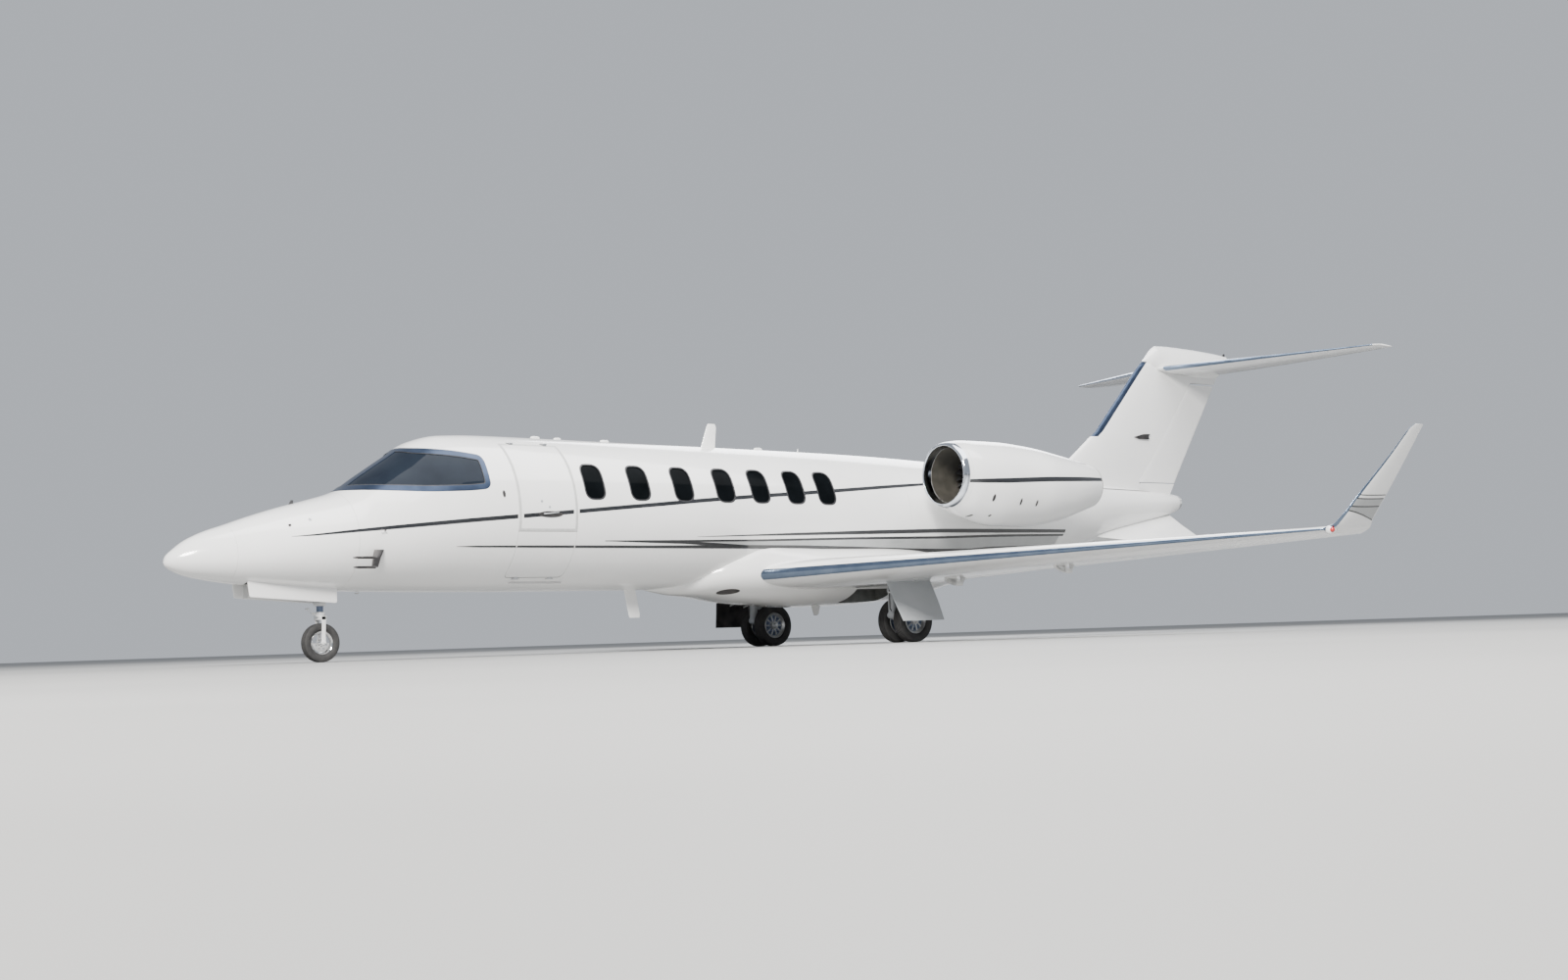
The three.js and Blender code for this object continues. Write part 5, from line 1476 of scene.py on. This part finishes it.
for suffix, side in sides.items():
    def wingletSide(lowOf, highOf):
        def surface(u, v):
            share = wingletMarks["edges"][0] + (wingletMarks["edges"][1] - wingletMarks["edges"][0]) * u
            z = lowOf(share) + (highOf(share) - lowOf(share)) * v
            return wingletPoint(wingletPlace(z), share, -1, side)
        return surface

    def curve(share):
        low, high, top = wingletMarks["silver"]
        return low + (high - low) * share ** 1.5

    fields = [("Silver", curve, lambda share: wingletMarks["silver"][2], "silverPaint", 1.0, 8),
              ("Curve", lambda share: curve(share) - wingletMarks["curve"], curve, "stripePaint", 1.6, 2)]
    for i, (low, high) in enumerate(wingletMarks["lines"]):
        fields.append((f"Line{i + 1}", lambda share, low=low: low, lambda share, high=high: high,
                       "stripePaint", 1.6, 2))
    for name, low, high, material, lift, rows in fields:
        piece = patch(f"{suffix}Winglet{name}", wingletSide(low, high), (16, rows), lift, 1.0, material,
                      spotCentre)
        dress(piece, "airframe", "white_paint")
print("marks ready")

# Wheels: half profiles of (radius, distance along the axle), spun about the axle
def tyreProfile(spec):
    outer, inner, half, depth = spec["radius"], spec["rim"], spec["tyreWidth"] / 2, spec["grooveDepth"]
    wall = outer - inner
    tread = half * 0.80
    profile = [(inner, -half * 0.62), (inner + 6, -half * 0.74), (inner + wall * 0.2, -half * 0.90),
               (inner + wall * 0.45, -half), (inner + wall * 0.66, -half * 0.985),
               (outer - wall * 0.15, -half * 0.93), (outer - wall * 0.05, -half * 0.86), (outer - 3, -tread)]
    for middle in spec["grooves"]:
        profile += [(outer - 1.5, middle - 5), (outer - depth - 1, middle - 3.4),
                    (outer - depth - 1, middle + 3.4), (outer - 1.5, middle + 5)]
    profile += [(r, -a) for r, a in reversed(profile[:8])]
    return profile + [profile[0]]


def hubProfile(spec):
    # Rim flanges, barrel, web and boss, as one closed outline.
    rim, (reach, web, boss, cap) = spec["rim"], spec["hub"]
    return [(0, -cap), (boss * 0.7, -cap), (boss, -cap + 5), (boss, -web - 6), (rim * 0.52, -web - 5),
            (rim * 0.78, -web + 1), (rim * 0.86, -reach + 8), (rim - 4, -reach - 3), (rim - 0.5, -reach),
            (rim - 0.5, reach), (rim - 4, reach + 3), (rim * 0.86, reach - 8), (rim * 0.78, web - 1),
            (rim * 0.52, web + 5), (boss, web + 6), (boss, cap - 5), (boss * 0.7, cap), (0, cap)]


def ringOf(centre, count, distance, phase=0):
    # Stations and heights of points in a ring about an axle.
    turns = [math.tau * (i + phase) / count for i in range(count)]
    return [(centre[0] + math.cos(turn) * distance, centre[2] + math.sin(turn) * distance) for turn in turns]


def drilled(obj, centre, count, radius, distance, depth):
    # Round holes in a ring about the axle.
    def build(bm):
        for x, z in ringOf(centre, count, distance, 0.5):
            barInto(bm, (x, centre[1] - depth, z), (x, centre[1] + depth, z), radius, segments=20)
    return carve(obj, cutterOf("holes", build))


# Gear values. Hub: half widths of rim and web, radius and reach of the boss.
noseGear = {"station": 1835, "radius": 218, "tyreWidth": 112, "rim": 134, "hub": (37, 14, 26, 62),
            "grooves": (-26, 0, 26), "grooveDepth": 5, "forkTop": 560, "armInner": 66, "armOuter": 84,
            "bayTop": 1149,
            "arm": [(-30, 512), (36, 512), (30, 430), (24, 300), (27, 232), (16, 190), (-16, 190), (-27, 232),
                    (-22, 300), (-16, 430)],
            "link": [(-60, 520), (-50, 508), (-150, 590), (-160, 602)]}
noseX, noseRadius = noseGear["station"], noseGear["radius"]
axle = (noseX, 0, noseRadius)
addSpun("noseTyre", tyreProfile(noseGear), axle, (0, 1, 0), 72, "rubber", "nose_wheel", "tyre_rubber",
        "nose_tyre")
noseHub = bmesh.new()
spunInto(noseHub, hubProfile(noseGear), axle, (0, 1, 0), 72)
noseHubPiece = drilled(meshObject("noseHub", noseHub, "chrome"), axle, 8, 11, 68, 40)
dress(noseHubPiece, "nose_wheel", "polished_metal", "nose_hub")
hubBolts = bmesh.new()
for x, z in ringOf(axle, 8, 40):
    barInto(hubBolts, (x, -28, z), (x, 28, z), 4.5, segments=6)
dress(meshObject("noseHubBolts", hubBolts, "darkMetal"), "nose_wheel", "gear_metal")

fork = bmesh.new()
barInto(fork, (noseX, 0, 506), (noseX, 0, noseGear["forkTop"] - 1), 54, 50, 40)
barInto(fork, (noseX, 0, 528), (noseX, 0, 545), 60, 60, 40)
for side in sides.values():
    arm = [(noseX + x, z) for x, z in noseGear["arm"]]
    low, high = sorted((side * noseGear["armInner"], side * noseGear["armOuter"]))
    prismInto(fork, roundedPolygon(arm, 16, 4), low, high, sidePlace)
    barInto(fork, (noseX, side * 62, noseRadius), (noseX, side * 92, noseRadius), 29, 27, 32)
    barInto(fork, (noseX, side * 90, noseRadius), (noseX, side * 112, noseRadius), 14, 13, 24)
boxInto(fork, (noseX - 32, noseX + 38), (-84, 84), (470, 512))
softenEdges(fork, 5, 3)
dress(meshObject("noseFork", fork, "gearPaint"), "nose_steering", "gear_metal", "nose_fork")
links = bmesh.new()
linkOutline = roundedPolygon([(noseX + x, z) for x, z in noseGear["link"]], 4, 2)
for low, high in ((20, 30), (-30, -20)):
    prismInto(links, linkOutline, low, high, sidePlace)
barInto(links, (noseX - 155, -36, 597), (noseX - 155, 36, 597), 8, segments=20)
barInto(links, (noseX - 40, 0, 540), (noseX - 90, 0, 540), 14, segments=20)
dress(meshObject("torqueLinkLower", links, "gearPaint"), "nose_steering", "gear_metal")

leg = bmesh.new()
legProfile = [(0, 0.5), (38, 0.5), (38, 62), (56, 66), (60, 76), (60, 108), (52, 116), (50, 128), (50, 330),
              (56, 338), (56, 372), (50, 380), (50, 588), (0, 588)]
spunInto(leg, legProfile, (noseX, 0, noseGear["forkTop"]), (0, 0, 1), 48)
barInto(leg, (noseX - 330, 0, noseGear["bayTop"] - 60), (noseX - 30, 0, 770), 22, 26, 28)
for y in (-46, 46):
    barInto(leg, (noseX - 300, y, noseGear["bayTop"] - 70), (noseX - 30, y * 0.7, 900), 9, 9, 16)
for station, z, radius in ((noseX - 340, noseGear["bayTop"] - 70, 24), (noseX, noseGear["bayTop"] - 90, 26)):
    barInto(leg, (station, -164, z), (station, 164, z), radius, radius, 28)
addFixed("noseLeg", leg, "legPaint", "gear_metal", "nose_leg")
addSpun("noseLegCollar", [(57, 4), (66, 4), (68, 10), (68, 40), (62, 48), (57, 48), (57, 4)],
        (noseX, 0, noseGear["forkTop"] + 62), (0, 0, 1), 40, "gearPaint", "airframe", "gear_metal")
lampPlace = (noseX - 70, 0, 690)
addSpun("taxiLamp", [(0, -40), (26, -34), (44, -8), (46, 0), (42, 3), (0, 5)], lampPlace, (-1, 0, 0), 40,
        "satinMetal", "airframe", "gear_metal")
addSpun("taxiLens", [(0, 11), (24, 9), (41, 3.5), (41, 1), (0, 1)], lampPlace, (-1, 0, 0), 40,
        "clearLens", "airframe", "window_glass")

noseDoor = {"inner": 177, "thick": 18, "outline": [(872, 915), (896, 731), (1947, 652), (1947, 842)],
            "rounding": [10, 22, 22, 10], "arms": (1020, 1300, 1700)}
for suffix, side in sides.items():
    low, high = sorted((side * noseDoor["inner"], side * (noseDoor["inner"] + noseDoor["thick"])))
    panel = bmesh.new()
    prismInto(panel, roundedPolygon(noseDoor["outline"], noseDoor["rounding"], 4), low, high, sidePlace)
    softenEdges(panel, 3, 2)
    panelPiece = meshObject(f"{suffix}NoseDoor", panel, "whitePaint")
    carve(panelPiece, bodyWhole, keepCutter=True)
    dress(panelPiece, "airframe", "white_paint", f"nose_gear_door_{suffix}")
    stay = bmesh.new()
    barInto(stay, (1500, side * 176, 748), (1560, side * 120, 930), 7, 7, 14)
    for station in noseDoor["arms"]:
        boxInto(stay, (station - 22, station + 22), sorted((side * 164, side * 178)), (728, 858))
    addFixed(f"{suffix}NoseDoorArms", stay, "gearPaint", "gear_metal")
print("nose gear ready")

# Main gear. Door rows: place, distance out, front edge, chord, height
mainGear = {"station": 9330, "offset": 1405, "radius": 279.5, "tyreWidth": 146, "rim": 172, "spacing": 290,
            "hub": (50, 20, 52, 58), "grooves": (-39, -13, 13, 39), "grooveDepth": 7,
            "leg": 9120, "knee": 350, "web": (54, 136), "spokes": 10, "bolts": 9,
            "doorRows": [[1, 1700, 8730, 745, 815], [2, 1790, 8790, 735, 540], [3, 1890, 8850, 690, 270]]}
mainX, legX, mainRadius = mainGear["station"], mainGear["leg"], mainGear["radius"]
gearDoorAt = smoothTable(mainGear["doorRows"])
for suffix, side in sides.items():
    y = side * mainGear["offset"]
    wheels = f"main_wheels_{suffix}"
    for name, out in (("Inner", -1), ("Outer", 1)):
        wheelY = y + side * out * mainGear["spacing"] / 2
        centre = (mainX, wheelY, mainRadius)
        addSpun(f"{suffix}Tyre{name}", tyreProfile(mainGear), centre, (0, 1, 0), 80, "rubber", wheels,
                "tyre_rubber", f"main_tyre_{suffix}_{name.lower()}")
        hub = bmesh.new()
        spunInto(hub, hubProfile(mainGear), centre, (0, 1, 0), 80)
        hubPiece = meshObject(f"{suffix}Hub{name}", hub, ("satinMetal", "legPaint"))
        drilled(hubPiece, centre, 10, 13, 106, 60)

        def onWeb(polygon):
            c = polygon.center - placed(*centre)
            return mainGear["web"][0] < math.hypot(c.x, c.z) * 1000 < mainGear["web"][1]

        repaint(hubPiece, 1, onWeb)
        dress(hubPiece, wheels, "gear_metal", f"main_hubs_{suffix}")
        cap, outward = bmesh.new(), side * out
        spunInto(cap, [(0, 74), (22, 73), (34, 66), (38, 58), (38, 50), (0, 50)], centre, (0, outward, 0), 40)
        inner, outer = (ringOf(centre, mainGear["spokes"], distance) for distance in (46, 134))
        for (x, z), (rimX, rimZ) in zip(inner, outer):
            barInto(cap, (x, wheelY + outward * 27, z), (rimX, wheelY + outward * 22, rimZ), 8, 11, 12)
        for x, z in ringOf(centre, mainGear["bolts"], 58):
            barInto(cap, (x, wheelY + outward * 22, z), (x, wheelY + outward * 34, z), 6, segments=6)
        dress(meshObject(f"{suffix}HubCap{name}", cap, "satinMetal"), wheels, "gear_metal")
    mainAxle = bmesh.new()
    axleEnds = ((mainX, y + reach, mainRadius) for reach in (-150, 150))
    barInto(mainAxle, *axleEnds, 29, segments=32)
    dress(meshObject(f"{suffix}Axle", mainAxle, "satinMetal"), wheels, "gear_metal")

    main = bmesh.new()
    barInto(main, (legX, y, mainGear["knee"] + 20), (legX + 10, y, 905), 52, 58, 40)
    barInto(main, (legX + 2, y, 640), (legX + 3, y, 690), 66, 66, 40)
    barInto(main, (legX, y - 62, mainGear["knee"]), (legX, y + 62, mainGear["knee"]), 40, 40, 36)
    trailingArm = [(legX - 40, 318), (mainX + 8, 226), (mainX + 56, 246), (mainX + 50, 322),
                   (mainX - 20, 350), (legX + 46, 408), (legX - 44, 398)]
    prismInto(main, roundedPolygon(trailingArm, 26, 4), y - 40, y + 40, sidePlace)
    barInto(main, (legX + 5, y, 830), (legX + 5, y - side * 420, 905), 30, 30, 28)
    softenEdges(main, 4, 2)
    # The main legs take the grey paint, darker than the gear paint of the other gear parts: painted shade.
    addFixed(f"{suffix}MainLeg", main, "greyPaint", "gear_metal", f"main_leg_{suffix}")
    shock = bmesh.new()
    barInto(shock, (mainX - 48, y, 318), (mainX - 108, y, 560), 24, 24, 32)
    addFixed(f"{suffix}ShockRod", shock, "chrome", "gear_metal")
    shockBody = bmesh.new()
    barInto(shockBody, (mainX - 96, y, 520), (legX + 62, y, 880), 40, 42, 36)
    barInto(shockBody, (mainX - 98, y, 512), (mainX - 104, y, 542), 46, 46, 36)
    # Grey paint on the shock body too, as painted shade.
    addFixed(f"{suffix}ShockBody", shockBody, "greyPaint", "gear_metal")
    brake = bmesh.new()
    for out in (-1, 1):
        spunInto(brake, [(44, 47), (128, 47), (132, 52), (132, 64), (126, 68), (44, 68), (44, 47)],
                 (mainX, y, mainRadius), (0, out, 0), 56)
    hoseRows = ((legX - 58, 20, 800), (legX - 66, 24, 600), (legX - 62, 20, 430), (legX + 20, 46, 330),
                (mainX - 90, 50, 300))
    hose = [(station, y + side * out, z) for station, out, z in hoseRows]
    for start, end in zip(hose, hose[1:]):
        barInto(brake, start, end, 6, 6, 12)
        joint = Matrix.Translation(placed(*end))
        bmesh.ops.create_icosphere(brake, subdivisions=2, radius=0.006, matrix=joint)
    addFixed(f"{suffix}Brakes", brake, "darkMetal", "dark_metal")

    def gearDoorSection(place, turn):
        out, start, chord, z = gearDoorAt(place)
        across = math.copysign(abs(math.cos(turn)) ** 0.12, math.cos(turn))
        thick = math.copysign(abs(math.sin(turn)) ** 0.35, math.sin(turn))
        return placed(start + chord * (1 + across) / 2, side * (out + 11 + 11 * thick), z)

    doorPiece = loft(f"{suffix}GearDoor", spaced(1, 3, 14), gearDoorSection, 48, ("greyPaint", "darkMetal"))
    # The door's inner faces take dark metal: painted shade.
    repaint(doorPiece, 1, lambda polygon: polygon.normal.y * side < -0.5)
    dress(doorPiece, "airframe", "white_paint", f"gear_door_{suffix}")
    rods = bmesh.new()
    for station, low, high in ((9020, 560, 640), (9260, 540, 620)):
        barInto(rods, (station, side * 1795, low), (station - 20, side * 1470, high), 9, 9, 16)
    addFixed(f"{suffix}GearDoorRods", rods, "gearPaint", "gear_metal")
print("main gear ready")


# Cabin: floor finish, seats, instrument panel and controls
def refinish(node, material):
    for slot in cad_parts[node].material_slots:
        slot.material = finishes[material]


refinish("cabin_floor", "carpet")

seating = {
    "pilot": (3080, 400), "cabin": ((5350, 1), (6850, -1), (7350, 1), (8900, -1)), "offset": 430,
    "seat": {"size": (400, 372, 112), "crown": 26, "channels": (-0.34, 0.34), "lean": 2,
             "place": (-22, 1352)},
    "back": {"size": (470, 372, 104), "crown": 22, "channels": (-0.34, 0.34), "lean": 76,
             "place": (262, 1636)},
    "head": {"size": (150, 250, 84), "crown": 16, "channels": (), "lean": 77, "place": (323, 1912)},
}


def cushion(name, spec, station, y, facing, body):
    # A closed crowned form: a grid box that swells between its edges, with sewn channels, then subdivided.
    length, width, thick = spec["size"]
    bm = bmesh.new()
    bmesh.ops.create_cube(bm, size=1)
    bmesh.ops.subdivide_edges(bm, edges=bm.edges[:], cuts=7, use_grid_fill=True)
    lean = math.radians(spec["lean"])
    for v in bm.verts:
        u, w, h = v.co * 2
        plump = (1 - u ** 4) * (1 - w ** 4)
        pinch = 1 - 0.10 * (1 - abs(h)) * (u ** 8 + w ** 8) / 2
        rise = h * thick / 2 * (0.72 + 0.28 * plump) + math.copysign(spec["crown"] * plump * (h > 0.9), h)
        for channel in spec["channels"]:
            rise -= 11 * max(0, 1 - abs(w - channel) / 0.13) * (h > 0.9)
        rise -= 7 * max(0, 1 - abs(u) / 0.13) * (h > 0.9) * (length > 300)
        along, across = u * length / 2 * pinch, w * width / 2 * pinch
        x = along * math.cos(lean) - rise * math.sin(lean)
        z = along * math.sin(lean) + rise * math.cos(lean)
        v.co = placed(station + facing * (spec["place"][0] + x), y + across, spec["place"][1] + z)
    piece = meshObject(name, bm, "leather")
    rounding = piece.modifiers.new("rounding", "SUBSURF")
    rounding.levels = 1
    rounding.render_levels = 1
    settle(piece)
    return dress(piece, body, "seat_leather")


def seatShell(bm, station, y, facing):
    def boxAt(x, across, z):
        along = sorted((station + facing * x[0], station + facing * x[1]))
        boxInto(bm, along, (y + across[0], y + across[1]), z)

    boxAt((-118, 118), (-110, 110), (1062, 1250))
    boxAt((-225, 262), (-196, 196), (1252, 1298))
    outline = [(250, 1262), (286, 1262), (386, 1964), (352, 1972)]
    prismInto(bm, [(station + facing * u, v) for u, v in outline], y - 190, y + 190, sidePlace)


for suffix, side in sides.items():
    shells, armRests = bmesh.new(), bmesh.new()
    places = [(seating["pilot"][0], side * seating["pilot"][1], 1, "Pilot")]
    places += [(station, side * seating["offset"], facing, f"Cabin{i + 1}")
               for i, (station, facing) in enumerate(seating["cabin"])]
    boxInto(shells, (2955, 9145), sorted((side * 262, side * 318)), (1021, 1058))
    for station, y, facing, label in places:
        seatShell(shells, station, y, facing)
        for key in ("seat", "back", "head"):
            cushion(f"{suffix}{label}{key.title()}", seating[key], station, y, facing, "airframe")
        arm = sorted((station - facing * 150, station + facing * 200))
        inner = y - side * 196
        boxInto(armRests, arm, sorted((inner, inner + side * 34)), (1492, 1524))
        post = (station + facing * 120, inner + side * 17)
        barInto(armRests, (*post, 1296), (*post, 1494), 11, segments=16)
    softenEdges(shells, 9, 3)
    softenEdges(armRests, 8, 3)
    shellPiece = meshObject(f"{suffix}SeatFrames", shells, "lining")
    dress(shellPiece, "airframe", "seat_leather", f"seats_{suffix}")
    addFixed(f"{suffix}ArmRests", armRests, "blackPlastic", "panel_plastic")

# Boxes: range of stations, of distances from the middle and of heights
cockpit = {
    "panel": (((2590, 2690), (-560, 560), (1345, 1822)), ((2562, 2690), (-86, 86), (1022, 1392)),
              ((2604, 3146), (-86, 86), (1022, 1286))),
    "hood": [(2504, 1838), (2560, 1884), (2694, 1884), (2698, 1862), (2640, 1836)], "hoodHalf": 565,
    "screens": (*(((2690, 2696), (y - 92, y + 92), (1575, 1740)) for y in (-430, -215, 215, 430)),
                ((2690, 2696), (-92, 92), (1480, 1740)), ((2700, 3080), (-66, 66), (1287, 1291))),
    "yokes": (-400, 400), "throttles": (-26, 26),
    "grips": [(-150, 60), (-135, -20), (-60, -40), (0, -20), (60, -40), (135, -20), (150, 60)],
}
panel = bmesh.new()
for box in cockpit["panel"]:
    boxInto(panel, *box)
prismInto(panel, cockpit["hood"], -cockpit["hoodHalf"], cockpit["hoodHalf"], sidePlace)
softenEdges(panel, 7, 3)
panelPiece = meshObject("instrumentPanel", panel, "blackPlastic")
carve(panelPiece, bodyLoft("cabinSpace", 2300, 3400, -fuselage["wall"] - 4, "lining"), "INTERSECT")
dress(panelPiece, "airframe", "panel_plastic", "instrument_panel")
screens, yokes = bmesh.new(), bmesh.new()
for box in cockpit["screens"]:
    boxInto(screens, *box)
softenEdges(screens, 2, 2)
addFixed("panelScreens", screens, "cabinGlass", "panel_plastic")
grips = cockpit["grips"]
for y in cockpit["yokes"]:
    barInto(yokes, (2696, y, 1500), (2830, y, 1520), 15, segments=20)
    for (a, b), (c, d) in zip(grips, grips[1:]):
        barInto(yokes, (2836, y + a, 1530 + b), (2836, y + c, 1530 + d), 13, segments=16)
    for throttle in cockpit["throttles"]:
        barInto(yokes, (2790, throttle, 1284), (2800, throttle, 1372), 6, segments=12)
        barInto(yokes, (2790, throttle - 16, 1372), (2790, throttle + 16, 1372), 12, segments=16)
addFixed("yokesAndLevers", yokes, "satinMetal", "gear_metal")
print("interior ready")

# The whole body served only as a cutter and for normals.
bpy.data.objects.remove(bodyWhole)

# Stage: a plain pale floor under soft light
studio = {
    "floorReach": 260, "sky": (0.84, 0.89, 0.97), "skyStrength": 0.62,
    "lamps": {"keyLamp": ((-24, -22, 20), 8, 27000, (1.0, 0.97, 0.93)),
              "topLamp": ((2, -6, 20), 20, 7500, (1.0, 1.0, 1.0)),
              "rearLamp": ((16, 14, 12), 12, 3000, (0.95, 0.97, 1.0))},
}
floorBm = bmesh.new()
bmesh.ops.create_grid(floorBm, x_segments=8, y_segments=8, size=studio["floorReach"])
floorPiece = meshObject("floor", floorBm, "floorPaint")
for name, (place, size, power, color) in studio["lamps"].items():
    lampData = bpy.data.lights.new(name, "AREA")
    lampData.size = size
    lampData.energy = power
    lampData.color = color
    lamp = bpy.data.objects.new(name, lampData)
    bpy.context.collection.objects.link(lamp)
    lamp.location = place
    lamp.rotation_euler = (Vector((0, 0, 1.5)) - Vector(place)).to_track_quat("-Z", "Y").to_euler()
world = bpy.data.worlds.new("studioWorld")
world.use_nodes = True
world.node_tree.nodes["Background"].inputs["Color"].default_value = (*studio["sky"], 1)
world.node_tree.nodes["Background"].inputs["Strength"].default_value = studio["skyStrength"]
bpy.context.scene.world = world
bpy.context.scene.view_settings.view_transform = "AgX"
print("stage ready")
